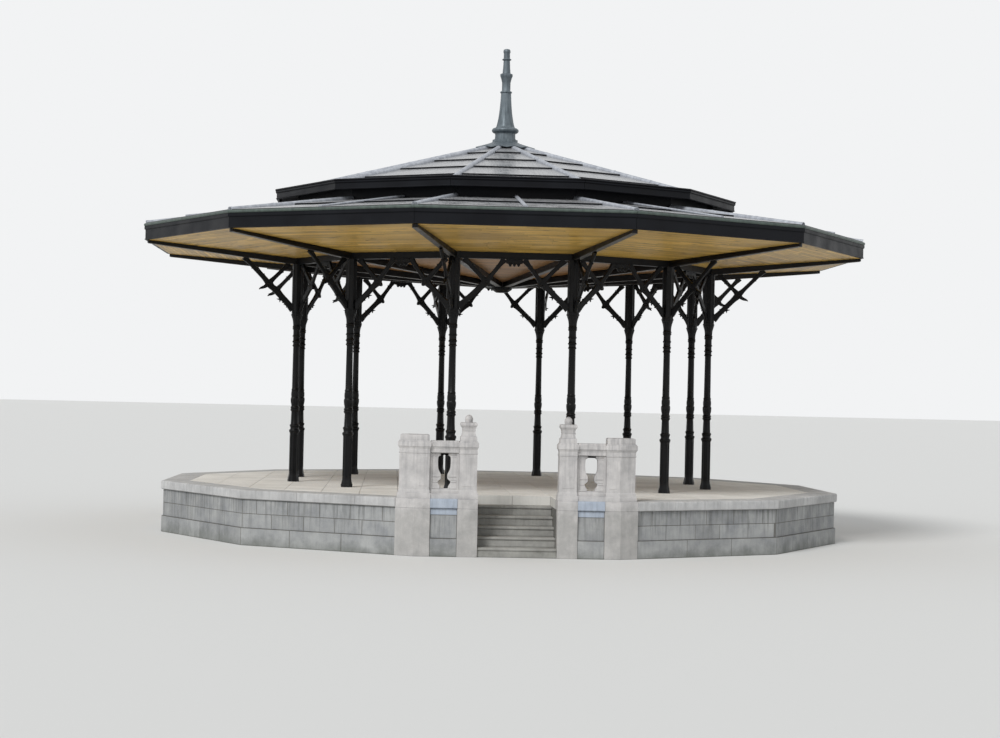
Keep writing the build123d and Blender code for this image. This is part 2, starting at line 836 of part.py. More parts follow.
# Fascia of the upper roof, fixed to its foot and standing above it as a gutter board
upper_fascia_section = [
    (upper_fascia_inner, upper_fascia_top - upper_fascia_height),
    (upper_eave_apothem, upper_fascia_top - upper_fascia_height),
    (upper_eave_apothem, upper_fascia_top),
    (upper_fascia_inner, upper_fascia_top),
]
with BuildPart() as upper_fascia:
    add(build_sides(upper_fascia_section, stone_joint))
upper_fascia.part.label = "upper_fascia"
export_step(upper_fascia.part, "parts/upper_fascia.step")

# Zinc edge rolls along both eaves, lapped down over the fascias
def edge_section(apothem, fascia_top, height):
    foot = fascia_top - edge_lap
    return [
        (apothem, foot),
        (apothem + edge_width / 2, foot),
        (apothem + edge_width, foot + height / 3),
        (apothem + edge_width, foot + height * 2 / 3),
        (apothem + edge_width / 2, foot + height),
        (apothem, foot + height),
    ]


with BuildPart() as edges:
    add(build_sides(edge_section(eave_apothem, lower_roof_foot, lower_edge_height), stone_joint))
    add(build_sides(edge_section(upper_eave_apothem, upper_fascia_top, upper_edge_height), stone_joint))
edges.part.label = "eave_edges"
export_step(edges.part, "parts/eave_edges.step")

# Finial of beaten zinc, twelve-sided as the roof is: drum, torus collar, flared cone, cup and knob
drum_width = 424
drum_height = 140
torus_width = 540
torus_height = 100
cone_foot_width = 374
cone_flare_width = 270
cone_flare_height = 240
cone_head_width = 200
cone_height = 700
bead_width = 240
bead_height = 40
stem_width = 168
stem_height = 180
cup_width = 250
cup_height = 130
cup_lip_height = 40
tip_width = 124
tip_foot_height = 270
tip_ring_width = 184
tip_ring_height = 30
tip_height = 120
knob_width = 144
knob_height = 60
knob_round = 20
torus_foot = finial_base_top + drum_height
cone_foot = torus_foot + torus_height
bead_foot = cone_foot + cone_height
stem_foot = bead_foot + bead_height
cup_foot = stem_foot + stem_height
cup_lip = cup_foot + cup_height
tip_foot = cup_lip + cup_lip_height
tip_ring_foot = tip_foot + tip_foot_height
tip_ring_top = tip_ring_foot + tip_ring_height
knob_foot = tip_ring_top + tip_height
finial_stages = [
    (finial_base_top, drum_width),
    (torus_foot, drum_width),
    (torus_foot, torus_width - torus_height / 2),
    (torus_foot + torus_height / 2, torus_width),
    (cone_foot, torus_width - torus_height / 2),
    (cone_foot, cone_foot_width),
    (cone_foot + cone_flare_height, cone_flare_width),
    (bead_foot, cone_head_width),
    (bead_foot, bead_width),
    (stem_foot, bead_width),
    (stem_foot, stem_width),
    (cup_foot, stem_width),
    (cup_lip, cup_width),
    (tip_foot, cup_width),
    (tip_foot, stem_width),
    (tip_ring_foot, tip_width),
    (tip_ring_foot, tip_ring_width),
    (tip_ring_top, tip_ring_width),
    (tip_ring_top, tip_width),
    (knob_foot, tip_width),
    (knob_foot + knob_round, knob_width),
    (knob_foot + knob_height, knob_width),
    (knob_foot + knob_height + knob_round, knob_width / 2),
]
with BuildPart() as spire:
    add(moulded(finial_stages, sides))
spire.part.label = "finial_spire"
export_step(spire.part, "parts/finial_spire.step")
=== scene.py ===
import random
from functools import partial
from math import atan2, ceil, cos, exp, hypot, pi, radians, sin, tan, tau

import bmesh
import bpy
from mathutils import Matrix, Vector


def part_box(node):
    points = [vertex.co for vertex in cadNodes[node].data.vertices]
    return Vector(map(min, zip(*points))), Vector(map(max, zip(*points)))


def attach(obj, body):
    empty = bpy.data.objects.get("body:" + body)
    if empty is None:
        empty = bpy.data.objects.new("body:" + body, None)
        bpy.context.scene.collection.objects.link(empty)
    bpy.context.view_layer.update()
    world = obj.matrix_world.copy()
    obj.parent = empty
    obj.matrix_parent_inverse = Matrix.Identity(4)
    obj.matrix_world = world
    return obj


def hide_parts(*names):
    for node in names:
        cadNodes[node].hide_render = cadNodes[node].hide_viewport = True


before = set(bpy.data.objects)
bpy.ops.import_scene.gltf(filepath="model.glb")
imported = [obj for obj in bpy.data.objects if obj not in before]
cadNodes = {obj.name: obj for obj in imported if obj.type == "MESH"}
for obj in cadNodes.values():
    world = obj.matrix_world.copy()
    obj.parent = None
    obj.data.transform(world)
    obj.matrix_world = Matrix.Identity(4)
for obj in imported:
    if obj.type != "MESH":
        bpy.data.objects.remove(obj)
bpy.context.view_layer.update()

print("frame loaded,", len(cadNodes), "nodes")

# the plan that every piece shares, in metres: twelve sides, and the stair side faces -Y
plan = {
    "sides": 12, "firstCorner": -75, "floor": 0.960, "platformRadius": 6.680, "wallInset": 0.050,
    "ringRadius": 4.145, "capitalTop": 4.190, "postTop": 5.150, "eaveRadius": 7.090, "upperEaveRadius": 4.600,
    "ceilingEave": 5.490, "ceilingFall": 0.0805,
}
# outwards from the stair stand a newel, a pierced panel and a corner pier with a near and a far leg
beside = {"stairHalf": 0.665, "proud": 0.022, "newel": 0.296, "inset": 0.030, "nearLeg": 0.226,
          "farLeg": 0.320}
sides, halfTurn = range(plan["sides"]), pi / plan["sides"]


def halfSide(apothem):
    return apothem * tan(halfTurn)


nosing = plan["platformRadius"] * cos(halfTurn)
wallApothem = nosing - plan["wallInset"]
dieFace = wallApothem - beside["inset"]
ringApothem = plan["ringRadius"] * cos(halfTurn)
eaveApothem = plan["eaveRadius"] * cos(halfTurn)
upperApothem = plan["upperEaveRadius"] * cos(halfTurn)
panelStart = beside["stairHalf"] + beside["proud"] + beside["newel"]
panelEnd = halfSide(dieFace) - beside["nearLeg"]
pierFarEnd = halfSide(dieFace) - beside["farLeg"]
fullTurn = [tau * n / 32 for n in range(32)]
beyond = 99  # an end past every corner, which leaves it to the mitre
dice = random.Random(11)


def ceilingAt(apothem):
    return plan["ceilingEave"] - plan["ceilingFall"] * (eaveApothem - apothem)


def sideTurn(side):
    return Matrix.Rotation(2 * halfTurn * side, 4, "Z")


def cornerTurn(corner):
    return Matrix.Rotation(radians(plan["firstCorner"]) + 2 * halfTurn * corner, 4, "Z")


def rectangle(left, right, low, high):
    return [(left, low), (right, low), (right, high), (left, high)]


# profiles are written in millimetres: runs of one kind of section, each with its heights and radii
def profile(*runs):
    return [(height / 1000, radius / 1000, kind) for kind, *spots in runs for height, radius in spots]


def metres(*spots):
    return [(first / 1000, second / 1000) for first, second in spots]


# finishes: patterns are sized in millimetres, heights on the part in metres
finishes = {}


def linear(code):  # sRGB hex to linear
    channels = [int(code[start:start + 2], 16) / 255 for start in (1, 3, 5)]
    return [c / 12.92 if c <= 0.04045 else ((c + 0.055) / 1.055) ** 2.4 for c in channels] + [1.0]


# a name in lower case is the node's own setting and the rest are sockets: a node is linked by its open
# output, a pair for From or To sets both ends of a range, and every mix is one of colours
def addNode(tree, kind, entries=None):
    node = tree.nodes.new("ShaderNode" + kind)
    if kind == "Mix":
        node.data_type = "RGBA"
    for name, value in (entries or {}).items():
        if name in ("From", "To"):
            node.inputs[name + " Min"].default_value, node.inputs[name + " Max"].default_value = value
        elif isinstance(name, str) and name[0].islower():
            setattr(node, name, value)
        elif isinstance(value, bpy.types.Node):
            tree.links.new(next(output for output in value.outputs if output.enabled), node.inputs[name])
        elif isinstance(value, bpy.types.NodeSocket):
            tree.links.new(value, node.inputs[name])
        else:
            node.inputs[name].default_value = linear(value) if isinstance(value, str) else value
    return node


def newFinish(name):
    finish = finishes[name] = bpy.data.materials.new(name)
    finish.use_nodes = True
    finish.node_tree.nodes.clear()
    return partial(addNode, finish.node_tree)


def closeFinish(add, spec, strength, relief, settings):
    bump = add("Bump", {"Strength": strength, "Distance": spec["relief"] / 1000, "Height": relief})
    add("OutputMaterial", {"Surface": add("BsdfPrincipled", {**settings, "Normal": bump})})


# every stone, board and sheet is a little lighter or darker than the next
def ownTone(add, spec):
    tone, spread = add("Attribute", {"attribute_name": "tone"}).outputs["Fac"], spec["toneSpread"]
    return add("MapRange", {"To": (1 - spread, 1 + spread), "Value": tone})


# what settles on a face that looks up
def settled(add, start, end, amount):
    facing = add("SeparateXYZ", {0: add("NewGeometry").outputs["Normal"]}).outputs["Z"]
    return add("MapRange", {"From": (start, end), "To": (0, amount), "Value": facing})


# stone: mottled and gritty, with dark runs of rain below a ledge, grime on top and a damp foot
def stoneFinish(name, changes):
    spec, add = {**stone, **changes}, newFinish(name)
    spot = add("TexCoord").outputs["Object"]
    height = add("SeparateXYZ", {0: spot}).outputs["Z"]
    patch = add("TexNoise", {"Scale": 1000 / spec["patch"], "Detail": 7, "Roughness": 0.62, "Vector": spot})
    grit = add("TexNoise", {"Scale": 1000 / spec["grit"], "Detail": 4, "Roughness": 0.7, "Vector": spot})
    pits = add("TexVoronoi", {"Scale": 1000 / spec["pit"], "Vector": spot})
    patchMask = add("MapRange", {"From": (0.32, 0.68), "Value": patch})
    bed = add("Mix", {0: patchMask, 6: spec["dark"], 7: spec["light"]})
    speckle = add("MapRange", {"From": (0.35, 0.65), "To": (0.86, 1.1), "Value": grit})
    brightness = add("Math", {"operation": "MULTIPLY", 0: speckle, 1: ownTone(add, spec)})
    toned = add("HueSaturation", {"Color": bed, "Value": brightness})
    # rain runs: narrow across, long down the face
    across, along = 1000 / spec["runWidth"], 1000 / spec["runLength"]
    stretched = add("Mapping", {"Scale": (across, across, along), "Vector": spot})
    run = add("TexNoise", {"Scale": 1.0, "Detail": 5, "Roughness": 0.6, "Vector": stretched})
    runMask = add("MapRange", {"From": (0.46, 0.68), "Value": run})
    runFade = add("MapRange", {"From": (spec["runFoot"], spec["runHead"]), "To": (0.12, spec["runStrength"]),
                               "Value": height})
    runs = add("Math", {"operation": "MULTIPLY", "use_clamp": True, 0: runMask, 1: runFade})
    stained = add("Mix", {0: runs, 6: toned, 7: spec["stain"]})
    lichen = add("MapRange", {"From": (0.30, 0.55), "To": (1.0, 0.45), "Value": patch})
    grime = add("Math", {"operation": "MULTIPLY", 0: settled(add, 0.30, 0.95, spec["grime"]), 1: lichen})
    topped = add("Mix", {0: grime, 6: stained, 7: spec["stain"]})
    # the damp foot has a ragged upper limit
    ragged = add("Math", {"operation": "MULTIPLY_ADD", 0: patch, 1: 0.5, 2: height})
    damp = add("MapRange", {"From": (spec["dampTop"] + 0.36, spec["dampTop"] + 0.10),
                            "To": (0, spec["dampStrength"]), "Value": ragged})
    footed = add("Mix", {0: damp, 6: topped, 7: spec["damp"]})
    wear = add("Attribute", {"attribute_name": "wear"}).outputs["Fac"]
    wearMask = add("MapRange", {"From": (0.2, 1.3), "To": (0, 0.5), "Value": wear})
    worn = add("Mix", {0: wearMask, 6: footed, 7: spec["edge"]})
    pitDepth = add("MapRange", {"From": (0.05, 0.30), "Value": pits})
    relief = add("Math", {"operation": "MULTIPLY_ADD", 0: pitDepth, 1: 0.6, 2: grit})
    closeFinish(add, spec, 0.55, relief, {"Base Color": worn, "Roughness": spec["roughness"]})


# paint on iron or boards: near black with small bright glints, dust on top and specks of rust
def paintFinish(name, changes):
    spec, add = {**iron, **changes}, newFinish(name)
    spot = add("TexCoord").outputs["Object"]
    patch = add("TexNoise", {"Scale": 1000 / spec["patch"], "Detail": 6, "Vector": spot})
    brushed = add("TexNoise", {"Scale": 1000 / spec["brushed"], "Detail": 3, "Vector": spot})
    speck = add("TexNoise", {"Scale": 1000 / spec["speck"], "Detail": 5, "Roughness": 0.7, "Vector": spot})
    patchMask = add("MapRange", {"From": (0.35, 0.7), "Value": patch})
    coat = add("Mix", {0: patchMask, 6: spec["paint"], 7: spec["faded"]})
    dusty = add("Mix", {0: settled(add, 0.45, 1.0, spec["dustAmount"]), 6: coat, 7: spec["dust"]})
    rustMask = add("MapRange", {"From": (spec["rustFrom"], spec["rustFrom"] + 0.05),
                                "To": (0, 0.8), "Value": speck})
    rusty = add("Mix", {0: rustMask, 6: dusty, 7: spec["rust"]})
    gloss = add("MapRange", {"From": (0.3, 0.7), "Value": patch,
                             "To": (spec["roughness"] - 0.08, spec["roughness"] + 0.14)})
    relief = add("Math", {"operation": "MULTIPLY_ADD", 0: patch, 1: 0.5, 2: brushed})
    settings = {"Base Color": rusty, "Roughness": gloss, "Specular IOR Level": spec["specular"]}
    closeFinish(add, spec, 0.5, relief, settings)


# varnished boards: long grain and knots, darker where the varnish has aged and in the grooves between them
def boardFinish(name, changes):
    spec, add = {**pine, **changes}, newFinish(name)
    grain = add("Attribute", {"attribute_name": "grain"}).outputs["Vector"]
    spot = add("TexCoord").outputs["Object"]
    rings, fibres, knots = (add("Mapping", {"Scale": (1000 / long, 1000 / wide, 1), "Vector": grain})
                            for long, wide in (spec["rings"], spec["fibres"], spec["knots"]))
    ring = add("TexNoise", {"Scale": 1.0, "Detail": 4, "Distortion": 0.6, "Vector": rings})
    fibre = add("TexNoise", {"Scale": 1.0, "Detail": 6, "Roughness": 0.7, "Vector": fibres})
    knot = add("TexVoronoi", {"Scale": 1.0, "Randomness": 1.0, "Vector": knots})
    ringMask = add("MapRange", {"From": (0.38, 0.66), "Value": ring})
    wood = add("Mix", {0: ringMask, 6: spec["light"], 7: spec["ring"]})
    knotMask = add("MapRange", {"From": (0.21, 0.08), "To": (0, 0.85), "Value": knot})
    knotted = add("Mix", {0: knotMask, 6: wood, 7: spec["knot"]})
    fibreTone = add("MapRange", {"From": (0.3, 0.7), "To": (0.84, 1.12), "Value": fibre})
    brightness = add("Math", {"operation": "MULTIPLY", 0: ownTone(add, spec), 1: fibreTone})
    toned = add("HueSaturation", {"Color": knotted, "Value": brightness})
    age = add("TexNoise", {"Scale": 1000 / spec["agePatch"], "Detail": 4, "Vector": spot})
    ageMask = add("MapRange", {"From": (0.46, 0.72), "To": (0, spec["ageAmount"]), "Value": age})
    aged = add("Mix", {0: ageMask, 6: toned, 7: spec["aged"]})
    groove = add("Attribute", {"attribute_name": "wear"}).outputs["Fac"]
    grooved = add("Mix", {0: groove, 6: aged, 7: spec["groove"]})
    closeFinish(add, spec, 0.35, fibre, {"Base Color": grooved, "Roughness": spec["roughness"]})


# sheet metal: streaks down the slope, soft dents, a bloom of dirt
def sheetFinish(name, changes):
    spec, add = {**sheet, **changes}, newFinish(name)
    if spec["measured"] == "grain":
        place = add("Attribute", {"attribute_name": "grain"}).outputs["Vector"]
    else:
        place = add("TexCoord").outputs["Object"]
    streaks = add("Mapping", {"Scale": [1000 / size for size in spec["streak"]], "Vector": place})
    streak = add("TexNoise", {"Scale": 1.0, "Detail": 6, "Roughness": 0.6, "Vector": streaks})
    bloom = add("TexNoise", {"Scale": 1000 / spec["bloom"], "Detail": 6, "Roughness": 0.65, "Vector": place})
    dent = add("TexNoise", {"Scale": 1000 / spec["dent"], "Detail": 2, "Vector": place})
    streakMask = add("MapRange", {"From": (0.36, 0.68), "Value": streak})
    skin = add("Mix", {0: streakMask, 6: spec["dark"], 7: spec["light"]})
    bloomMask = add("MapRange", {"From": (0.5, 0.74), "To": (0, spec["bloomAmount"]), "Value": bloom})
    bloomed = add("Mix", {0: bloomMask, 6: skin, 7: spec["bloomColour"]})
    toned = add("HueSaturation", {"Color": bloomed, "Value": ownTone(add, spec)})
    gloss = add("MapRange", {"From": (0.3, 0.7), "Value": bloom,
                             "To": (spec["roughness"] - 0.08, spec["roughness"] + 0.16)})
    settings = {"Base Color": toned, "Metallic": spec["metallic"], "Roughness": gloss}
    closeFinish(add, spec, 0.5, dent, settings)


# grit and pits are drawn coarser than the real 1 mm and 5 mm, as fine ones don't show at this distance
stone = {
    "light": "#a9aaa9", "dark": "#8b8d8f", "stain": "#4c4d4b", "damp": "#5b5f52", "edge": "#c0c0bc",
    "roughness": 0.88, "patch": 350, "grit": 4, "pit": 18, "relief": 2.2, "toneSpread": 0.10,
    "runWidth": 50, "runLength": 700, "runHead": 0.80, "runFoot": 0.25, "runStrength": 0.62,
    "dampTop": 0.10, "dampStrength": 0.5, "grime": 0.10,
}
# limestone, sawn: matt grey blocks, each with a shade of its own, streaked by rain
stoneFinish("sawnLimestone", {})
# lime mortar, pointed by hand: duller and browner than the blocks, so the joints read as dark lines
stoneFinish("wallMortar", {"light": "#7d7c78", "dark": "#63625f", "toneSpread": 0.0})
# lime render, floated: smooth, even and a little blue
stoneFinish("limeRender", {"light": "#b6bfcb", "dark": "#9ca6b4", "stain": "#767d86", "toneSpread": 0.0,
                           "runStrength": 0.35, "relief": 0.8})
# limestone, rubbed: paler than the wall and clean above, stained along the lower edge
stoneFinish("copingLimestone", {"light": "#c4c4c3", "dark": "#a9a9a9", "stain": "#6e6e6c", "runHead": 0.95,
                                "runFoot": 0.80, "runStrength": 0.35, "dampStrength": 0.0})
# limestone flags, sawn and walked smooth: the palest stone, with broad soft patches
stoneFinish("pavingLimestone", {"light": "#ebe9e4", "dark": "#d9d7d1", "stain": "#9b978e", "grime": 0.0,
                                "patch": 800, "runStrength": 0.15, "dampStrength": 0.0, "toneSpread": 0.05,
                                "relief": 1.0})
# limestone, dressed and worn by feet: warm grey, soiled in the corners
stoneFinish("wornStepStone", {"light": "#aeada8", "dark": "#8a8985", "stain": "#5a5a56", "toneSpread": 0.0,
                              "runStrength": 0.3, "dampStrength": 0.2})
# cast stone, moulded: pale and fine, its ledges and tops dark with grime that runs down the faces
stoneFinish("castBalustradeStone", {"light": "#d0cdcb", "dark": "#b3b1b0", "stain": "#77777a",
                                    "edge": "#dedddb", "patch": 220, "grit": 3, "relief": 1.2,
                                    "toneSpread": 0.04, "runHead": 1.95, "runFoot": 1.00, "runStrength": 0.45,
                                    "dampTop": 0.80, "dampStrength": 0.22, "grime": 0.8})
# brush marks are drawn 6 mm wide, as the real 1 mm ones don't show
iron = {
    "paint": "#060607", "faded": "#0d0e10", "dust": "#2c2a28", "rust": "#3f2519", "roughness": 0.34,
    "specular": 0.22, "patch": 120, "brushed": 6, "speck": 30, "rustFrom": 0.72, "dustAmount": 0.3,
    "relief": 1.2,
}
# cast iron under brushed gloss paint: all but black, with thin bright edges of light
paintFinish("paintedCastIron", {})
# rolled steel under gloss paint: as dark, a little flatter
paintFinish("paintedBeam", {"paint": "#08090b", "faded": "#101114", "roughness": 0.4})
# rolled steel under older paint: a softer, browner black
paintFinish("paintedRib", {"paint": "#0c0c0d", "faded": "#161516", "roughness": 0.38})
# deck boards coloured a dead black below the sheets, as painted shade for the shadowed underside of the eaves
paintFinish("shadeBlackDeck", {"paint": "#0d0c0c", "faded": "#171513", "patch": 400, "roughness": 0.6})
# steel flange under black paint, lightened to a grey as a painted highlight where its lower edge catches the
# light from below
paintFinish("paintedHighlightFlange", {"paint": "#2a2826", "faded": "#524f4c", "roughness": 0.34})
# deal boards under gloss paint: a blue black, broad and even; the same black is laid on the roof's step
# boards as painted shade
paintFinish("paintedFascia", {"paint": "#0b0c11", "faded": "#14161b", "patch": 500, "roughness": 0.42,
                              "specular": 0.15, "rustFrom": 0.80, "relief": 0.8})
# sizes along and across the grain; fibres are drawn 3 mm wide, as the real ones, under 1 mm, don't show
pine = {
    "light": "#d9b258", "ring": "#a9843a", "knot": "#4c3319", "aged": "#7d5e30", "groove": "#2b1d0b",
    "roughness": 0.42, "rings": (900, 22), "fibres": (140, 3), "knots": (480, 150), "agePatch": 1400,
    "ageAmount": 0.40, "toneSpread": 0.28, "relief": 0.8,
}
# pine, planed and varnished: honey yellow, boards of unlike tones, dark knots and grooves
boardFinish("varnishedPine", {})
# the same pine in the shade of the roof: redder and duller
boardFinish("shadedPine", {"light": "#a57c4a", "ring": "#8a6236", "aged": "#6b4626", "ageAmount": 0.6})
# the sheet greys are paler than the paint's own, a painted reflection of the sky
sheet = {
    "light": "#a0a1a3", "dark": "#838486", "bloomColour": "#b3b4b5", "metallic": 0.0, "roughness": 0.24,
    "measured": "grain", "streak": (900, 30, 1000), "bloom": 350, "bloomAmount": 0.35, "dent": 300,
    "toneSpread": 0.06, "relief": 4.0,
}
# steel sheet, rolled and painted grey, its grey raised as a painted reflection of the bright sky and sun
# glare: smooth enough to mirror the sky, faintly buckled
sheetFinish("roofSheetGreyAndGlare", {})
zinc = {**sheet, "light": "#bcc0c7", "dark": "#989ca4", "bloomColour": "#cfd1d4", "metallic": 0.35,
        "roughness": 0.45, "measured": "object", "streak": (250 / 3, 250 / 3, 1000 / 3), "bloom": 120,
        "dent": 50, "toneSpread": 0.0, "relief": 1.5}
# zinc, dressed over rolls and weathered: pale, milky and half dull
sheetFinish("weatheredZinc", zinc)
# zinc with an old patina: green grey and duller to the eye
sheetFinish("patinatedZinc", {**zinc, "light": "#59655f", "dark": "#454f4b", "bloomColour": "#6c7772"})
# zinc, beaten round a post: blue grey, streaked down its length
sheetFinish("beatenZinc", {**zinc, "light": "#717b81", "dark": "#515a60", "bloomColour": "#848c90",
                           "streak": (50, 50, 400)})
print("finishes made,", len(finishes))


# building: a shell gathers points and faces
# each point knows its tone, its place along the grain and its wear

def newShell():
    return {"points": [], "faces": [], "grain": [], "tone": [], "wear": []}


def addFaces(shell, points, faces, place=None, tone=0.5, grain=None, wear=None):
    first = len(shell["points"])
    for number, point in enumerate(points):
        point = Vector(point)
        shell["points"].append(place @ point if place else point)
        shell["grain"].append(grain[number] if grain else point)
        shell["wear"].append(wear[number] if wear else 0.0)
        shell["tone"].append(tone)
    shell["faces"] += [[first + corner for corner in face] for face in faces]


# skin over rows of points: closed at both ends, or looped from the last row to the first
def skinOver(rows, count, looped=False):
    faces = [] if looped else [list(range(count))[::-1], [(rows - 1) * count + n for n in range(count)]]
    for row in range(rows if looped else rows - 1):
        here, above = row * count, (row + 1) % rows * count
        for n in range(count):
            m = (n + 1) % count
            faces.append([here + n, here + m, above + m, above + n])
    return faces


# a board, stone or sheet: a convex outline seen from its face, with its rim chamfered
def addSlab(shell, outline, thickness, edge, place=None, tone=None, along=(1, 0, 0)):
    corners = [Vector(corner) for corner in outline]
    count = len(corners)
    facing = Vector()
    for number in range(count):
        facing += (corners[number] - corners[0]).cross(corners[(number + 1) % count] - corners[0])
    facing.normalize()
    inward = [facing.cross((corners[(n + 1) % count] - corners[n]).normalized()) for n in range(count)]
    turned = [(inward[n - 1] + inward[n]) / (1 + inward[n - 1].dot(inward[n])) for n in range(count)]
    face = [corner + edge * turn for corner, turn in zip(corners, turned)]
    points = [c - facing * thickness for c in corners] + [c - facing * edge for c in corners] + face
    tone = dice.random() if tone is None else tone
    along = Vector(along).normalized()
    across = facing.cross(along)
    grain = [Vector((p.dot(along) + 31 * tone, p.dot(across) + 17 * tone, p.dot(facing))) for p in points]
    wear = [1.0] * (2 * count) + [0.0] * count
    addFaces(shell, points, skinOver(3, count), place, tone, grain, wear)


# a length along one side: a section of (apothem, height), its ends mitred where they reach a corner
def addStrip(shell, section, side, start=-beyond, end=beyond, gap=0.003):
    points, grain, travelled = [], [], 0.0
    count, tone = len(section), dice.random()
    for number, (apothem, height) in enumerate(section):
        reach = halfSide(apothem) - gap
        for x in (max(start, -reach), min(end, reach)):
            points.append((x, -apothem, height))
            grain.append(Vector((x + 31 * tone, travelled, 0)))
        ahead = section[(number + 1) % count]
        travelled += hypot(ahead[0] - apothem, ahead[1] - height)
    faces = [[2 * n, 2 * n + 1, 2 * ((n + 1) % count) + 1, 2 * ((n + 1) % count)] for n in range(count)]
    faces += [[2 * n for n in range(count)][::-1], [2 * n + 1 for n in range(count)]]
    addFaces(shell, points, faces, sideTurn(side), tone, grain)


def roundShape(radius, kind, angle):
    return radius


# a turned or moulded form: a profile, and the shape gives its radius at each angle
def addTurned(shell, rows, angles=fullTurn, shape=roundShape, place=None):
    points, grain = [], []
    for height, radius, kind in rows:
        for angle in angles:
            reach = shape(radius, kind, angle)
            points.append((reach * cos(angle), reach * sin(angle), height))
            grain.append(Vector((radius * angle, height, 0)))
    addFaces(shell, points, skinOver(len(rows), len(angles)), place, grain=grain)


# a cast bar in a flat plane, chamfered along its edges, with its own half width at each point of its path
def addBar(shell, path, halfWidths, thickness, edge, place, facing=(0, 1, 0)):
    facing = Vector(facing)
    spots = [Vector(spot) for spot in path]
    points = []
    for number, spot in enumerate(spots):
        ahead = (spots[min(number + 1, len(spots) - 1)] - spots[max(number - 1, 0)]).normalized()
        aside = facing.cross(ahead)
        half, deep = halfWidths[number], thickness / 2
        cut = min(edge, half * 0.6)
        ring = [(half, deep - cut), (half - cut, deep), (cut - half, deep), (-half, deep - cut),
                (-half, cut - deep), (cut - half, -deep), (half - cut, -deep), (half, cut - deep)]
        points += [spot + aside * u + facing * v for u, v in ring]
    addFaces(shell, points, skinOver(len(spots), 8), place)


# courses over one plan: each level is (height, how far it stands proud)
def addStack(shell, levels, outlineOf, place):
    points = [(x, y, height) for height, proud in levels for x, y in outlineOf(proud)]
    addFaces(shell, points, skinOver(len(levels), len(points) // len(levels)), place)


# an upright plate cut to outlines of (x, height), the first its edge and the rest its holes
def addPlate(shell, outlines, thickness, edge, place):
    curve = bpy.data.curves.new("plateOutline", "CURVE")
    curve.dimensions, curve.fill_mode, curve.extrude = "2D", "BOTH", thickness / 2 - edge
    curve.bevel_depth, curve.bevel_resolution, curve.offset = edge, 1, -edge
    for outline in outlines:
        spline = curve.splines.new("POLY")
        spline.points.add(len(outline) - 1)
        for number, (x, y) in enumerate(outline):
            spline.points[number].co = (x, y, 0, 1)
        spline.use_cyclic_u = True
    holder = bpy.data.objects.new("plateHolder", curve)
    bpy.context.scene.collection.objects.link(holder)
    mesh = bpy.data.meshes.new_from_object(holder.evaluated_get(bpy.context.evaluated_depsgraph_get()))
    addFaces(shell, [v.co for v in mesh.vertices], [list(f.vertices) for f in mesh.polygons],
             place @ Matrix.Rotation(pi / 2, 4, "X"))
    bpy.data.objects.remove(holder)
    bpy.data.curves.remove(curve)
    bpy.data.meshes.remove(mesh)


def shellMesh(name, shell, finish, smooth=None):
    mesh = bpy.data.meshes.new(name)
    mesh.from_pydata([tuple(point) for point in shell["points"]], [], shell["faces"])
    for title in ("tone", "wear"):
        mesh.attributes.new(title, "FLOAT", "POINT").data.foreach_set("value", shell[title])
    flat = [number for spot in shell["grain"] for number in spot]
    mesh.attributes.new("grain", "FLOAT_VECTOR", "POINT").data.foreach_set("vector", flat)
    outward = bmesh.new()
    outward.from_mesh(mesh)
    bmesh.ops.recalc_face_normals(outward, faces=outward.faces)
    outward.to_mesh(mesh)
    outward.free()
    mesh.materials.append(finishes[finish])
    if smooth is not None:
        mesh.shade_smooth()
        mesh.set_sharp_from_angle(angle=radians(smooth))
    return mesh


def placePiece(name, mesh, stands=(), place=None):
    piece = bpy.data.objects.new(name, mesh)
    bpy.context.scene.collection.objects.link(piece)
    if place:
        piece.matrix_world = place
    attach(piece, "root")
    if stands:
        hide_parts(*stands)


def buildPiece(name, shell, finish, stands=(), smooth=None):
    placePiece(name, shellMesh(name, shell, finish, smooth), stands)


# a node of the frame keeps its shape, gets its finish and has its edges eased
def dressNode(node, finish, ease=0.0):
    part = cadNodes[node]
    part.data.materials.clear()
    part.data.materials.append(finishes[finish])
    if ease:
        part.modifiers.new("weld", "WELD").merge_threshold = 0.0001
        bevel = part.modifiers.new("ease", "BEVEL")
        bevel.width, bevel.segments, bevel.limit_method = ease, 2, "ANGLE"
        bevel.angle_limit = radians(25)


# platform wall: a projecting base course and two courses of sawn blocks, cut round the stair side's piers
wall = {"baseTop": 0.300, "baseProud": 0.028, "baseStone": 0.92, "courses": (0.300, 0.550, 0.800),
        "stone": 0.66, "joint": 0.006, "chamfer": 0.007, "proud": 0.004, "bed": 0.05, "uneven": 0.05,
        "renderFoot": 0.690, "renderProud": 0.006}


def sideRuns(side, apothem):
    reach = halfSide(apothem) - 0.002
    if side == 0:
        return [(-panelEnd + beside["proud"], -panelStart - beside["proud"]),
                (panelStart + beside["proud"], panelEnd - beside["proud"])]
    if side == 1:
        return [(-pierFarEnd + beside["proud"], reach)]
    if side == plan["sides"] - 1:
        return [(-reach, pierFarEnd - beside["proud"])]
    return [(-reach, reach)]


def addCourse(shell, side, apothem, low, high, stoneLength, staggered=False):
    gap = wall["joint"] / 2
    for start, end in sideRuns(side, apothem):
        count = max(1, round((end - start) / stoneLength))
        cuts = [start + (end - start) * n / count for n in range(count + 1)]
        if staggered and count > 1:
            step = (end - start) / count
            cuts = [start] + [cut + step / 2 for cut in cuts[:-1]] + [end]
        uneven = wall["uneven"]
        cuts = [cut if cut in (start, end) else cut + dice.uniform(-uneven, uneven) for cut in cuts]
        for left, right in zip(cuts, cuts[1:]):
            face = rectangle(left + gap, right - gap, low + gap, high - gap)
            addSlab(shell, [(x, -apothem, z) for x, z in face], wall["bed"], wall["chamfer"], sideTurn(side))


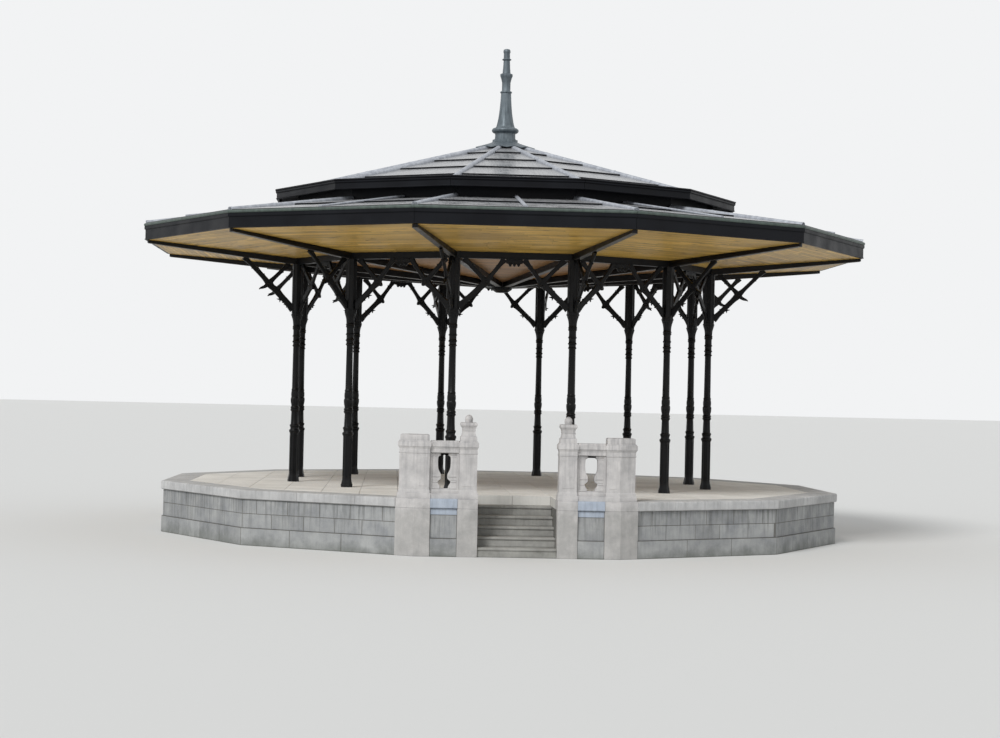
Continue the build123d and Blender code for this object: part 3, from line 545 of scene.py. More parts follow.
blocks = newShell()
for side in sides:
    addCourse(blocks, side, wallApothem + wall["baseProud"] + wall["proud"], 0.002, wall["baseTop"],
              wall["baseStone"])
    for number, (low, high) in enumerate(zip(wall["courses"], wall["courses"][1:])):
        if side:
            addCourse(blocks, side, wallApothem + wall["proud"], low, high, wall["stone"], number % 2 == 1)
addCourse(blocks, 0, wallApothem + wall["proud"], wall["baseTop"], wall["renderFoot"], wall["stone"])
buildPiece("wallBlocks", blocks, "sawnLimestone")
dressNode("plinth_mass", "wallMortar")
dressNode("plinth_piers", "castBalustradeStone", 0.008)
print("wall laid")

# coping: three stones to a side with a rounded nosing and a drip below it, cut round the piers
coping = {"low": 0.800, "top": plan["floor"], "width": 0.520, "round": 0.028, "joint": 0.004, "stone": 1.16,
          "drip": ((0.040, 0.0), (0.034, 0.008), (0.026, 0.008), (0.020, 0.0))}
copingSection = [(nosing - coping["width"], coping["low"])]
copingSection += [(nosing - inset, coping["low"] + rise) for inset, rise in coping["drip"]]
for step in range(7):
    bend = radians(-90 + 30 * step)
    middle = coping["low"] + coping["round"] if step < 3 else coping["top"] - coping["round"]
    copingSection.append((nosing - coping["round"] + coping["round"] * cos(bend),
                          middle + coping["round"] * sin(bend)))
copingSection.append((nosing - coping["width"], coping["top"]))
copings, gap = newShell(), coping["joint"] / 2
cuts = [-beyond, -coping["stone"] / 2, coping["stone"] / 2, beyond]
for side in range(1, plan["sides"]):
    for start, end in zip(cuts, cuts[1:]):
        if side == 1:
            start = max(start, beside["proud"] - pierFarEnd)
        if side == plan["sides"] - 1:
            end = min(end, pierFarEnd - beside["proud"])
        addStrip(copings, copingSection, side, start + gap, end - gap, gap)
buildPiece("copingStones", copings, "copingLimestone", ["coping_stones"], 35)
# under the pierced panels the coping and the head of the wall are rendered smooth and coloured a bluish white
render = newShell()
addCourse(render, 0, wallApothem + wall["renderProud"], wall["renderFoot"], wall["courses"][-1],
          wall["stone"])
for start, end in sideRuns(0, 0):
    addStrip(render, copingSection, 0, start + 0.001, end - 0.001)
buildPiece("wallRender", render, "limeRender", smooth=35)

# floor: square slabs in rows that line up with the stair well, cut to the twelve sides
paving = {"slab": beside["stairHalf"], "joint": 0.005, "thickness": 0.16, "chamfer": 0.003, "leastEdge": 0.02,
          "wellBack": -wallApothem + 1.5}


def clipped(outline, normal, reach):
    kept = []
    for number, here in enumerate(outline):
        before = outline[number - 1]
        hereOut, beforeOut = here.dot(normal) - reach, before.dot(normal) - reach
        if hereOut * beforeOut < 0:
            kept.append(before.lerp(here, beforeOut / (beforeOut - hereOut)))
        if hereOut <= 0:
            kept.append(here)
    return kept


slabs, gap = newShell(), paving["joint"] / 2
pavingApothem = nosing - coping["width"] - 0.002
rowCount = ceil(2 * pavingApothem / paving["slab"]) + 2
for column in range(-10, 10):
    for row in range(-rowCount, rowCount):
        left, low = column * paving["slab"], paving["wellBack"] + row * paving["slab"]
        if row < 0 and column in (-1, 0):  # the stair well
            continue
        square = rectangle(left + gap, left + paving["slab"] - gap, low + gap, low + paving["slab"] - gap)
        outline = [Vector(spot) for spot in square]
        for side in sides:
            bearing = 2 * halfTurn * side
            outline = clipped(outline, Vector((cos(bearing), sin(bearing))), pavingApothem)
        outline = [here for number, here in enumerate(outline)
                   if (here - outline[number - 1]).length > paving["leastEdge"]]
        if len(outline) > 2:
            corners = [(spot.x, spot.y, plan["floor"]) for spot in outline]
            addSlab(slabs, corners, paving["thickness"], paving["chamfer"])
buildPiece("floorSlabs", slabs, "pavingLimestone", ["floor_paving"])
for number in range(1, 6):
    dressNode(f"stair_step_{number}", "wornStepStone", 0.012)
print("floor and coping laid")

# balustrade of the stair side; its levels are (height, how far they stand proud of the die) in millimetres
balustrade = {"depth": 0.300, "frame": 0.170, "frameFoot": 1.050, "frameHead": 1.730, "windowHalf": 0.205,
              "windowFoot": 1.116, "windowHead": 1.716, "web": 0.124, "webChamfer": 0.006, "rollDeep": 0.02,
              "fieldFoot": 1.165, "fieldHead": 1.655, "fieldHalf": 0.105, "fieldInsets": (0.045, 0.050),
              "fieldProud": 0.005, "fieldDeep": 0.012, "chamfer": 0.005, "letIn": 0.004, "clear": 0.0005}
pedestalLevels = metres(
    (960, 22), (1038, 22), (1046, 19), (1050, 12), (1056, 10), (1078, 10), (1090, 8), (1102, 4), (1110, 0),
    (1704, 0), (1708, 6), (1714, 8), (1722, 8), (1727, 2), (1784, 2), (1790, 6), (1804, 9), (1814, 14),
    (1820, 19), (1826, 22), (1890, 22), (1897, 19), (1902, 12), (1914, 8), (1924, 0))
pierTop = metres((1924, -6), (2004, -6), (2014, -10), (2024, -24))
# foot blocks as high as the coping stand flush with the piers below them, 10 mm behind its nosing
footLevels = metres((802, -2), (952, -2), (960, -10))
footFace, footBack = wallApothem + 0.040, nosing - coping["width"]
newelMiddle = Vector((panelStart - beside["newel"] / 2, -dieFace + balustrade["depth"] / 2, 0))


# plan of the right corner pier, its corner on the +X axis: near end at the panel, far end round the corner
def cornerPlan(face, deep, proud):
    outer, inner = Vector((face / cos(halfTurn), 0)), Vector(((face - deep) / cos(halfTurn), 0))
    ends = []
    for hand, stop in ((-1, panelEnd), (1, pierFarEnd)):
        reach = halfSide(face) - stop + proud
        end = outer + Vector((-sin(halfTurn), hand * cos(halfTurn))) * reach
        ends += [end, end + Vector((-cos(halfTurn), -hand * sin(halfTurn))) * deep]
    near, nearBack, far, farBack = ends
    return [(spot.x, spot.y) for spot in (inner, nearBack, near, outer, far, farBack)]


def cornerOutline(proud):
    return cornerPlan(dieFace + proud, balustrade["depth"] + 2 * proud, proud)


def cornerFoot(proud):
    return cornerPlan(footFace + proud, footFace - footBack + 2 * proud, beside["proud"] + proud)


def newelFoot(proud):
    half = beside["newel"] / 2 + beside["proud"] + proud
    return rectangle(-half, half, -footFace - newelMiddle.y - proud, -footBack - newelMiddle.y + proud)


def newelOutline(proud):
    half, deep = beside["newel"] / 2 + proud, balustrade["depth"] / 2 + proud
    return rectangle(-half, half, -deep, deep)


def squareOutline(half):
    return rectangle(-half, half, -half, half)


# a raised field or moulding on an upright face; left and right change places on a face that looks back
def addField(shell, left, right, low, high, y, deep, place=None):
    outline = [(x, y, z) for x, z in rectangle(left, right, low, high)]
    addSlab(shell, outline, deep, balustrade["chamfer"], place, 0.5)


def buildCastStone(node, shell):
    buildPiece(node + "_stone", shell, "castBalustradeStone", [node], 25)


for hand, name in ((-1, "corner_pier_left"), (1, "corner_pier_right")):
    pier = newShell()
    for levels, outline in ((footLevels, cornerFoot), (pedestalLevels + pierTop, cornerOutline)):
        addStack(pier, levels, outline, Matrix.Scale(hand, 4, (1, 0, 0)) @ cornerTurn(0))
    # fielded face on the leg beside the panel
    nearInset, farInset = balustrade["fieldInsets"]
    left, right = sorted((hand * (panelEnd + nearInset), hand * (halfSide(dieFace) - farInset)))
    addField(pier, left, right, balustrade["fieldFoot"], balustrade["fieldHead"],
             -dieFace - balustrade["fieldProud"], balustrade["fieldDeep"])
    buildCastStone(name, pier)

# a necked cap on the newel, half widths in millimetres, and a squat ball on it
capLevels = metres(
    (1924, 139), (1990, 139), (1998, 136), (2004, 130), (2010, 120), (2030, 116), (2060, 110), (2084, 106),
    (2090, 106), (2094, 111), (2104, 113), (2110, 108), (2130, 111), (2150, 118), (2168, 128), (2180, 137),
    (2186, 140), (2196, 142), (2214, 142), (2224, 139), (2231, 131), (2236, 118))
ball = profile(("round", (2236, 68), (2244, 68), (2249, 61), (2262, 63), (2278, 67), (2298, 67), (2316, 63),
                (2332, 55), (2346, 43), (2356, 28), (2362, 14), (2364.3, 4)))
for side, name in ((1, "newel_right"), (-1, "newel_left")):
    newel = newShell()
    place = Matrix.Translation((side * newelMiddle.x, newelMiddle.y, 0))
    addStack(newel, footLevels, newelFoot, place)
    addStack(newel, pedestalLevels, newelOutline, place)
    addStack(newel, capLevels, squareOutline, place)
    for face in (-1, 1):
        addField(newel, face * balustrade["fieldHalf"], -face * balustrade["fieldHalf"],
                 balustrade["fieldFoot"], balustrade["fieldHead"],
                 face * (balustrade["depth"] / 2 + balustrade["fieldProud"]), balustrade["fieldDeep"], place)
    addTurned(newel, ball, place=place)
    buildCastStone(name, newel)

# pierced panel: an outer frame, a thinner web cut by the vase, and rolls that make two half balusters of it
vase = metres(
    (66, 1126), (67, 1142), (71, 1158), (79, 1174), (90, 1192), (100, 1208), (106, 1222), (107, 1234),
    (102, 1244), (92, 1254), (80, 1264), (67, 1275), (58, 1286), (54, 1298), (53, 1328), (55, 1358),
    (62, 1378), (73, 1398), (85, 1420), (95, 1444), (103, 1482), (106, 1540), (106, 1600), (104, 1640),
    (98, 1654), (84, 1666), (68, 1674), (60, 1682), (60, 1722))
vaseOutline = vase + [(-half, height) for half, height in reversed(vase)]
# plinth, neck and head of a half baluster: foot, head, inner half width, how proud of the web
halfBaluster = ((1.118, 1.150, 0.074, 0.012), (1.226, 1.240, 0.113, 0.008), (1.262, 1.272, 0.086, 0.006),
                (1.318, 1.338, 0.060, 0.012), (1.650, 1.660, 0.108, 0.006), (1.684, 1.714, 0.066, 0.012))
# base block, die foot, neck band and rail: how far each is let in at its ends, then its levels
panelBands = (
    (0.018, metres((960, 150), (1038, 150), (1050, 138))),
    (0.006, metres((1050, 95), (1092, 95), (1104, 88))),
    (0.004, metres((1724, 104), (1728, 110), (1784, 110), (1790, 114), (1804, 118), (1820, 122))),
    (0.018, metres((1820, 126), (1826, 135), (1890, 135), (1902, 126), (1924, 116))),
)
panelMiddle = Vector(((panelStart + panelEnd) / 2, -dieFace + balustrade["depth"] / 2, 0))
panelHalf = (panelEnd - panelStart) / 2 - balustrade["clear"]
for side, name in ((1, "pierced_panel_right"), (-1, "pierced_panel_left")):
    panel = newShell()
    place = Matrix.Translation((side * panelMiddle.x, panelMiddle.y, 0))
    wide, low, high = (balustrade[key] for key in ("windowHalf", "windowFoot", "windowHead"))
    edge = rectangle(-panelHalf, panelHalf, balustrade["frameFoot"], balustrade["frameHead"])
    window = rectangle(-wide, wide, low, high)
    addPlate(panel, [edge, window], balustrade["frame"], balustrade["chamfer"], place)
    # the web is let into the frame
    let = balustrade["letIn"]
    web = rectangle(-wide - let, wide + let, low - let, high + 0.010)
    addPlate(panel, [web, vaseOutline], balustrade["web"], balustrade["webChamfer"], place)
    for hand in (-1, 1):
        for low, high, inner, proud in halfBaluster:
            for face in (-1, 1):
                left, right = sorted((hand * inner, hand * wide), reverse=face > 0)
                y = face * (balustrade["web"] / 2 + proud)
                addField(panel, left, right, low, high, y, balustrade["rollDeep"], place)
    for inset, levels in panelBands:
        reach = panelHalf - inset
        addStack(panel, levels, lambda deep: rectangle(-reach, reach, -deep, deep), place)
    buildCastStone(name, panel)
print("balustrade set")

# cast iron column: heights above the floor and half widths in millimetres
columnRows = profile(
    ("octagon", (0, 105), (40, 105), (48, 101), (56, 99), (72, 98), (95, 93), (120, 87), (145, 83), (160, 82),
     (200, 82)),
    ("panel", (206, 82), (890, 82)),
    ("octagon", (896, 82), (926, 82), (934, 87)),
    ("round", (946, 89), (952, 96), (964, 101), (980, 103), (996, 100), (1004, 93), (1008, 84), (1022, 79)),
    ("leaf", (1050, 82), (1064, 87)),
    ("round", (1070, 90), (1078, 93), (1088, 93), (1096, 88), (1102, 80)),
    ("flute", (1110, 77), (1340, 69)),
    ("round", (1350, 69), (1360, 76), (1368, 83), (1382, 86), (1396, 83), (1402, 76), (1410, 80), (1420, 84),
     (1434, 84), (1444, 78), (1452, 71)),
    ("leaf", (1470, 70), (1490, 74), (1520, 80), (1555, 84), (1590, 85), (1610, 82)),
    ("round", (1622, 74)),
    ("leaf", (1650, 77), (1690, 78), (1725, 75)),
    ("round", (1748, 70), (1756, 74), (1770, 76), (1782, 71)),
    ("flute", (1796, 68), (2590, 62)),
    ("round", (2600, 62), (2606, 70), (2614, 77), (2624, 77), (2632, 68), (2642, 65), (2676, 65), (2682, 73),
     (2690, 79), (2702, 79), (2710, 71), (2718, 66), (2786, 66), (2792, 73), (2800, 78), (2812, 78),
     (2820, 69), (2834, 66), (2924, 66), (2932, 74), (2942, 80), (2954, 80), (2962, 73), (2972, 80),
     (2986, 81), (2996, 75)),
    ("leaf", (3004, 71), (3050, 73), (3095, 78), (3130, 86), (3160, 96), (3178, 103), (3190, 102)),
    ("octagon", (3194, 98), (3198, 108), (3226, 108), (3230, 100), (3250, 100)),
    ("panel", (3256, 100), (4090, 100)),
    ("octagon", (4096, 100), (4190, 100)))
castColumn = {"panelDeep": 0.007, "panelHalf": radians(14.5), "fluteDeep": 0.0045, "leafLow": 0.93,
              "leafSwell": 0.09, "boltCircle": 0.1015}
# eight faces, with points close together where the edges of a sunk panel fall
offsets = (-22.5, -15, -14, -7, 0, 7, 14, 15)
columnAngles = [radians(45 * face + offset) for face in range(8) for offset in offsets]
boltHead = profile(("round", (40.5, 9), (50, 9), (53, 6)))


def columnShape(radius, kind, angle):
    across = (angle + pi / 8) % (pi / 4) - pi / 8
    if kind == "octagon":
        return radius / cos(across)
    if kind == "panel":
        sunk = abs(across) < castColumn["panelHalf"]
        return radius / cos(across) - (castColumn["panelDeep"] if sunk else 0.0)
    if kind == "flute":
        return radius - castColumn["fluteDeep"] * cos(4 * across)
    if kind == "leaf":
        return radius * (castColumn["leafLow"] + castColumn["leafSwell"] * abs(cos(8 * across)))
    return radius


column = newShell()
addTurned(column, columnRows, columnAngles, columnShape)
for number in range(8):
    bearing, out = radians(45 * number), castColumn["boltCircle"]
    place = Matrix.Translation((out * cos(bearing), out * sin(bearing), 0))
    addTurned(column, boltHead, [radians(60 * n) for n in range(6)], place=place)
columnMesh = shellMesh("castColumn", column, "paintedCastIron", 32)
for number in sides:
    place = cornerTurn(-1 - number) @ Matrix.Translation((plan["ringRadius"], 0, plan["floor"]))
    placePiece(f"castColumn_{number + 1:02d}", columnMesh, [f"column_{number + 1:02d}"], place)
print("columns stood")

# brackets: arms that swell where they meet, a boss on both faces of the knot, leaves and spurs
bracket = {"strut": 0.050, "arm": 0.037, "swell": 0.022, "swellLength": 0.16, "thickness": 0.048,
           "footAt": 0.15, "web": 0.112, "webThick": 0.056, "collarAt": 0.34, "strutCollar": 0.060,
           "armCollar": 0.047, "collarThick": 0.060, "spur": 0.062, "spurThick": 0.026, "leafThick": 0.034,
           "curlThick": 0.018, "collarHalf": 0.009, "spurLeans": (0.9, -0.5), "bossScallop": 0.07}
# from the column's axis to the knot, where the head and the brace end, and the shares for collars and spur
ringBracket = {"reach": (0.573, 0, 0.542), "head": 0.178, "brace": 0.172, "collarAt": 0.66, "spurAt": 0.52}
eaveBracket = {"reach": (0.570, 0, 0.573), "head": 1.055, "brace": 0.175, "collarAt": 0.62, "spurAt": 0.45,
               "leaf": ((0.030, -0.040), (0.080, -0.070), (0.125, -0.088), (0.166, -0.104), (0.186, -0.124))}
bossRows = profile(("scalloped", (0, 60), (26, 60), (31, 54), (30, 40)),
                   ("round", (26, 34), (27, 26), (34, 20), (36, 10)))


def armPath(start, end, half):
    length = (end - start).length
    path, halves = [], []
    for step in range(13):
        share = step / 12
        path.append(start.lerp(end, share))
        nearest = min(share, 1 - share) * length / bracket["swellLength"]
        halves.append(half + bracket["swell"] * exp(-3 * nearest ** 2))
    return path, halves


def bossShape(radius, kind, angle):
    return radius * (1 + bracket["bossScallop"] * cos(8 * angle)) if kind == "scalloped" else radius


# the arms run together in a web with four points, one of them free, under a boss on each face
def addKnot(shell, knot, lean, place):
    web = []
    for number in range(48):
        angle = tau * number / 48
        reach = bracket["web"] * (0.60 + 0.40 * abs(cos(2 * (angle - lean))) ** 2.5)
        web.append((reach * cos(angle), reach * sin(angle)))
    place = place @ Matrix.Translation(knot)
    addPlate(shell, [web], bracket["webThick"], 0.007, place)
    for hand in (-1, 1):
        addTurned(shell, bossRows, shape=bossShape, place=place @ Matrix.Rotation(hand * pi / 2, 4, "X"))


def addCollar(shell, path, share, half, place):
    spot = path[0].lerp(path[-1], share)
    ahead = (path[-1] - path[0]).normalized() * bracket["collarHalf"]
    addBar(shell, [spot - ahead, spot + ahead], [half, half], bracket["collarThick"], 0.004, place)


# a strut from the column to the knot, an arm on to the head, a brace back up, and a spur of two leaves below
def addBracket(shell, axisFoot, kind, head, brace, place):
    knot = axisFoot + Vector(kind["reach"])
    foot = axisFoot.lerp(knot, bracket["footAt"])
    arms = ((foot, knot, "strut", bracket["collarAt"]), (knot, head, "arm", kind["collarAt"]),
            (knot, brace, "arm", kind["collarAt"]))
    for start, end, width, collarAt in arms:
        path, halves = armPath(start, end, bracket[width])
        addBar(shell, path, halves, bracket["thickness"], 0.008, place)
        addCollar(shell, path, collarAt, bracket[width + "Collar"], place)
    addKnot(shell, knot, atan2(kind["reach"][2], kind["reach"][0]), place)
    root, ahead, spur = foot.lerp(knot, kind["spurAt"]), (knot - foot).normalized(), bracket["spur"]
    below = Vector((ahead.z, 0, -ahead.x))
    for lean in bracket["spurLeans"]:
        tip = root + below * (bracket["strut"] + spur * 0.7) + ahead * spur * lean
        middle = root + below * (bracket["strut"] + 0.014) + ahead * spur * lean * 0.35
        path = [root + below * 0.036, middle, tip]
        addBar(shell, path, [0.020, 0.015, 0.003], bracket["spurThick"], 0.005, place)
    return knot


ringBrackets = newShell()
halfBay, headHeight = plan["ringRadius"] * sin(halfTurn), plan["postTop"] - 0.006
for side in sides:
    for mirror in (1, -1):
        place = sideTurn(side) @ Matrix.Translation((0, -ringApothem, 0)) @ Matrix.Scale(mirror, 4, (1, 0, 0))
        head = Vector((-ringBracket["head"], 0, headHeight))
        brace = Vector((ringBracket["brace"] - halfBay, 0, headHeight))
        addBracket(ringBrackets, Vector((-halfBay, 0, plan["capitalTop"])), ringBracket, head, brace, place)
buildPiece("ringBrackets", ringBrackets, "paintedCastIron", ["ring_brackets"], 35)

# scalloped ornament between the heads of the struts
lobes = (-0.075, 0.0, 0.075)
scallop = [(-0.150, -0.002), (-0.150, -0.080), (-0.140, -0.086), (-0.112, -0.092)]
mirrored = [(-x, y) for x, y in scallop[::-1]]
for lobe in lobes:
    for share in (step / 8 for step in range(9)):
        scallop.append((lobe - 0.033 + 0.066 * share, -0.096 - 0.044 * sin(pi * share) ** 0.8))
scallop += mirrored
bead = profile(("round", (0, 24), (5, 23), (10, 15), (13, 5)))
fleurons = newShell()
for side in sides:
    place = sideTurn(side) @ Matrix.Translation((0, -ringApothem, plan["postTop"]))
    addPlate(fleurons, [scallop[::-1]], bracket["thickness"], 0.006, place)
    for lobe in lobes:
        for hand in (-1, 1):
            spot = place @ Matrix.Translation((lobe, -0.022 * hand, -0.100))
            addTurned(fleurons, bead, fullTurn[::2], place=spot @ Matrix.Rotation(hand * pi / 2, 4, "X"))
buildPiece("beamFleurons", fleurons, "paintedCastIron", ["beam_fleurons"], 35)


# the ribs' lower edge bends over the ring of columns
def ribUnderside(radius):
    ring, hubLow, ringLow = plan["ringRadius"], ceilingAt(0) - 0.100, ceilingAt(ringApothem) - 0.120
    if radius > ring:
        eaveLow = plan["ceilingEave"] - 0.050
        return ringLow + (radius - ring) / (plan["eaveRadius"] - ring) * (eaveLow - ringLow)
    return hubLow + (ringLow - hubLow) * radius / ring


eaveBrackets = newShell()
for corner in sides:
    place = cornerTurn(corner) @ Matrix.Translation((plan["ringRadius"], 0, 0))
    head, brace = (Vector((x, 0, ribUnderside(plan["ringRadius"] + x) + 0.002))
                   for x in (eaveBracket["head"], eaveBracket["brace"]))
    knot = addBracket(eaveBrackets, Vector((0, 0, plan["capitalTop"])), eaveBracket, head, brace, place)
    # drooping leaf at the knot, with a curl to each side of its stalk
    leaf = [knot + Vector((x, 0, z)) for x, z in eaveBracket["leaf"]]
    addBar(eaveBrackets, leaf, [0.034, 0.032, 0.025, 0.014, 0.003], bracket["leafThick"], 0.006, place)
    for hand in (-1, 1):
        curl = [leaf[1], leaf[2] + Vector((0, 0.024 * hand, 0.012)),
                leaf[3] + Vector((-0.01, 0.046 * hand, 0.026))]
        addBar(eaveBrackets, curl, [0.018, 0.015, 0.003], bracket["curlThick"], 0.004, place)
buildPiece("eaveBrackets", eaveBrackets, "paintedCastIron", ["eave_brackets"], 35)
print("brackets fixed")

# beams and ribs keep their solids, and a flange lies along each lower edge
flange = {"thickness": 0.010, "beamHalf": 0.062, "ribHalf": 0.055, "let": 0.006,
          "ribLengths": ((0.34, 1.90), (1.90, 4.02), (4.27, 7.025))}
dressNode("ring_beams", "paintedBeam", 0.004)
dressNode("ceiling_ribs", "paintedRib", 0.004)
dressNode("ceiling_hub", "paintedRib", 0.006)
beamFlanges, ribFlanges = newShell(), newShell()
high = plan["postTop"] + 0.004
for side in sides:
    section = rectangle(ringApothem - flange["beamHalf"], ringApothem + flange["beamHalf"],
                        high - flange["thickness"], high)
    addStrip(beamFlanges, section, side, gap=0.10)
    for ends in flange["ribLengths"]:
        line = [Vector((radius, 0, ribUnderside(radius))) for radius in ends]
        ahead = (line[1] - line[0]).normalized()
        let = Vector((-ahead.z, 0, ahead.x)) * flange["let"]
        outline = [line[end] + Vector((0, hand * flange["ribHalf"], 0)) - let
                   for end, hand in ((0, -1), (0, 1), (1, 1), (1, -1))]
        addSlab(ribFlanges, outline, flange["thickness"], 0.002, cornerTurn(side), 0.5)
buildPiece("beamFlanges", beamFlanges, "paintedBeam")
# the rib flanges carry the painted highlight along the ribs' lower edges
buildPiece("ribFlanges", ribFlanges, "paintedHighlightFlange")

# tongued and grooved boards, laid along the sides: pale under the eave, darker inside the ring as painted
# shade
boards = {"width": 0.098, "gap": 0.003, "thickness": 0.022, "chamfer": 0.004, "mitre": 0.004, "jointed": 2.2}


def addBoards(shell, inner, outer):
    count = round((outer - inner) / boards["width"])
    for side in sides:
        for number in range(count):
            near = inner + (outer - inner) * number / count + boards["gap"] / 2
            far = inner + (outer - inner) * (number + 1) / count - boards["gap"] / 2
            # a long course of boards has one butt joint, staggered
            cut = dice.uniform(-0.5, 0.5) * halfSide(near)
            ends = (-beyond, cut, beyond) if near > boards["jointed"] else (-beyond, beyond)
            for left, right in zip(ends, ends[1:]):
                outline = []
                for apothem, order in ((far, (0,)), (near, (0, 1)), (far, (1,))):
                    reach = halfSide(apothem) - boards["mitre"]
                    spots = (max(left + 0.001, -reach), min(right - 0.001, reach))
                    outline += [(spots[end], -apothem, ceilingAt(apothem)) for end in order]
                addSlab(shell, outline, boards["thickness"], boards["chamfer"], sideTurn(side))


soffit, ceiling = newShell(), newShell()
addBoards(soffit, ringApothem + 0.002, eaveApothem - 0.042)
addBoards(ceiling, 0.22, ringApothem - 0.002)
buildPiece("soffitBoards", soffit, "varnishedPine", ["soffit_boards"])
buildPiece("ceilingBoards", ceiling, "shadedPine", ["ceiling_boards"])
print("ceiling boarded")

# fascias keep their solids and get a moulded top strip, a bead at the foot and a drip roll on top
fascias = {
    "lower": {"apothem": eaveApothem, "foot": 5.492, "strip": (5.676, 5.744), "roll": (5.746, 5.800)},
    "upper": {"apothem": upperApothem, "foot": 6.392, "strip": (6.500, 6.544), "roll": (6.546, 6.582)},
}
for node in ("lower_fascia", "upper_fascia", "clerestory_boards"):
    dressNode(node, "paintedFascia", 0.004)


# a section from (how far out, height), closed along the face of the fascia
def trimSection(apothem, low, high, spots):
    return [(apothem + out, height) for out, height in [(-0.002, low)] + spots + [(-0.002, high)]]


def stripSection(apothem, low, high):
    return trimSection(apothem, low, high, [(0.012, low + 0.006), (0.020, low + 0.018), (0.020, high - 0.004),
                                            (0.014, high)])


def beadSection(apothem, low):
    return trimSection(apothem, low, low + 0.018, [(0.008, low), (0.012, low + 0.008), (0.008, low + 0.016)])


def rollSection(apothem, low, high):
    third = (high - low) / 3
    return trimSection(apothem, low, high, [
        (0.014, low), (0.024, low + third * 0.4), (0.0295, low + third), (0.0295, high - third),
        (0.024, high - third * 0.4), (0.014, high)])


fasciaTrim, dripRoll = newShell(), newShell()
for side in sides:
    for fascia in fascias.values():
        addStrip(fasciaTrim, stripSection(fascia["apothem"], *fascia["strip"]), side)
    for fascia in fascias.values():
        addStrip(fasciaTrim, beadSection(fascia["apothem"], fascia["foot"]), side)
    for fascia, shell in zip(fascias.values(), (dripRoll, fasciaTrim)):
        addStrip(shell, rollSection(fascia["apothem"], *fascia["roll"]), side)
buildPiece("eaveDripRoll", dripRoll, "patinatedZinc", ["eave_edges"], 35)

# roofs: sheets on the stepped deck, each course lapping the one below, with a black step board under the lap
# as painted shade for the shadow line beneath each lap
roofs = {
    "lower": {"node": "lower_roof", "eave": eaveApothem, "start": eaveApothem, "head": ringApothem + 0.025,
              "foot": 5.760, "fall": 0.16314, "courses": 2, "first": 1.0},
    "upper": {"node": "upper_roof", "eave": upperApothem, "start": upperApothem - 0.040, "head": 0.225,
              "foot": 6.455, "fall": 0.27952, "courses": 5, "first": 0.7},
}
sheets = {"thickness": 0.004, "width": 1.9, "step": 0.028, "deck": 0.050, "hipGap": 0.050, "joint": 0.002,
          "board": 0.034}


def undersideAt(roof, apothem):
    return roof["foot"] + roof["fall"] * (roof["eave"] - apothem)


for name, roof in roofs.items():
    skin, joint = newShell(), sheets["joint"]
    run = (roof["start"] - roof["head"]) / (roof["courses"] - 1 + roof["first"])
    laps = [roof["start"]] + [roof["head"] + run * left for left in range(roof["courses"] - 1, -1, -1)]
    for side in sides:
        for low, high in zip(laps, laps[1:]):
            lowHeight = undersideAt(roof, low) + sheets["deck"] + sheets["thickness"]
            highHeight = undersideAt(roof, high) + sheets["deck"] - sheets["step"] + sheets["thickness"]
            lowReach = halfSide(low) - sheets["hipGap"]
            highReach = max(halfSide(high) - sheets["hipGap"], 0.02)
            front = low + (0.004 if low < roof["start"] else -0.002)
            count = max(1, round(2 * lowReach / sheets["width"]))
            for number in range(count):
                left, right = -1 + 2 * number / count, -1 + 2 * (number + 1) / count
                outline = [(left * lowReach + joint, -front, lowHeight),
                           (right * lowReach - joint, -front, lowHeight),
                           (right * highReach - joint, -high, highHeight),
                           (left * highReach + joint, -high, highHeight)]
                addSlab(skin, outline, sheets["thickness"], 0.001, sideTurn(side), along=(0, 1, 0.2))
            if low < roof["start"]:
                # under each lap a black board in the fascia paint, painted shade for the lap's shadow line
                board = rectangle(low - 0.004, low + 0.007, lowHeight - sheets["board"], lowHeight)
                addStrip(fasciaTrim, board, side, gap=sheets["hipGap"])
    buildPiece(name + "RoofSheets", skin, "roofSheetGreyAndGlare")
    # the deck takes a dead black as painted shade where the eave's underside is seen in shadow
    dressNode(roof["node"], "shadeBlackDeck")
buildPiece("fasciaTrim", fasciaTrim, "paintedFascia")

# zinc rolls over the hips, a rounded cap on a flat foot, in lengths with a lapped band between them
roll = {"half": 0.048, "rise": 0.046, "length": 0.95, "band": 0.045, "bandProud": 0.004, "middleHalf": 0.036,
        "middleRise": 0.060, "middleThick": 0.040}


def addRoll(shell, roof, footRadius, headRadius, corner):
    def axisAt(radius):
        return Vector((radius, 0, undersideAt(roof, radius * cos(halfTurn)) + roll["rise"]))

    fall = headRadius - footRadius
    count = max(1, round(-fall / roll["length"]))
    slope = (axisAt(headRadius) - axisAt(footRadius)).normalized()
    up, across = Vector((slope.z, 0, -slope.x)), Vector((0, 1, 0))
    for number in range(count):
        start, end = (axisAt(footRadius + fall * joint / count) for joint in (number, number + 1))
        bandEnd = start + slope * roll["band"]
        for top, half in ((end, roll["half"]), (bandEnd, roll["half"] + roll["bandProud"])):
            points = []
            for spot in (start, top):
                for angle in (radians(turn) for turn in range(0, 181, 18)):
                    aside, lift = half * cos(angle), (half - 0.002) * sin(angle)
                    points.append(spot + across * aside + up * lift)
                points += [spot + across * hand * half - up * roll["rise"] for hand in (-1, 1)]
            addFaces(shell, points, skinOver(2, len(points) // 2), cornerTurn(corner))


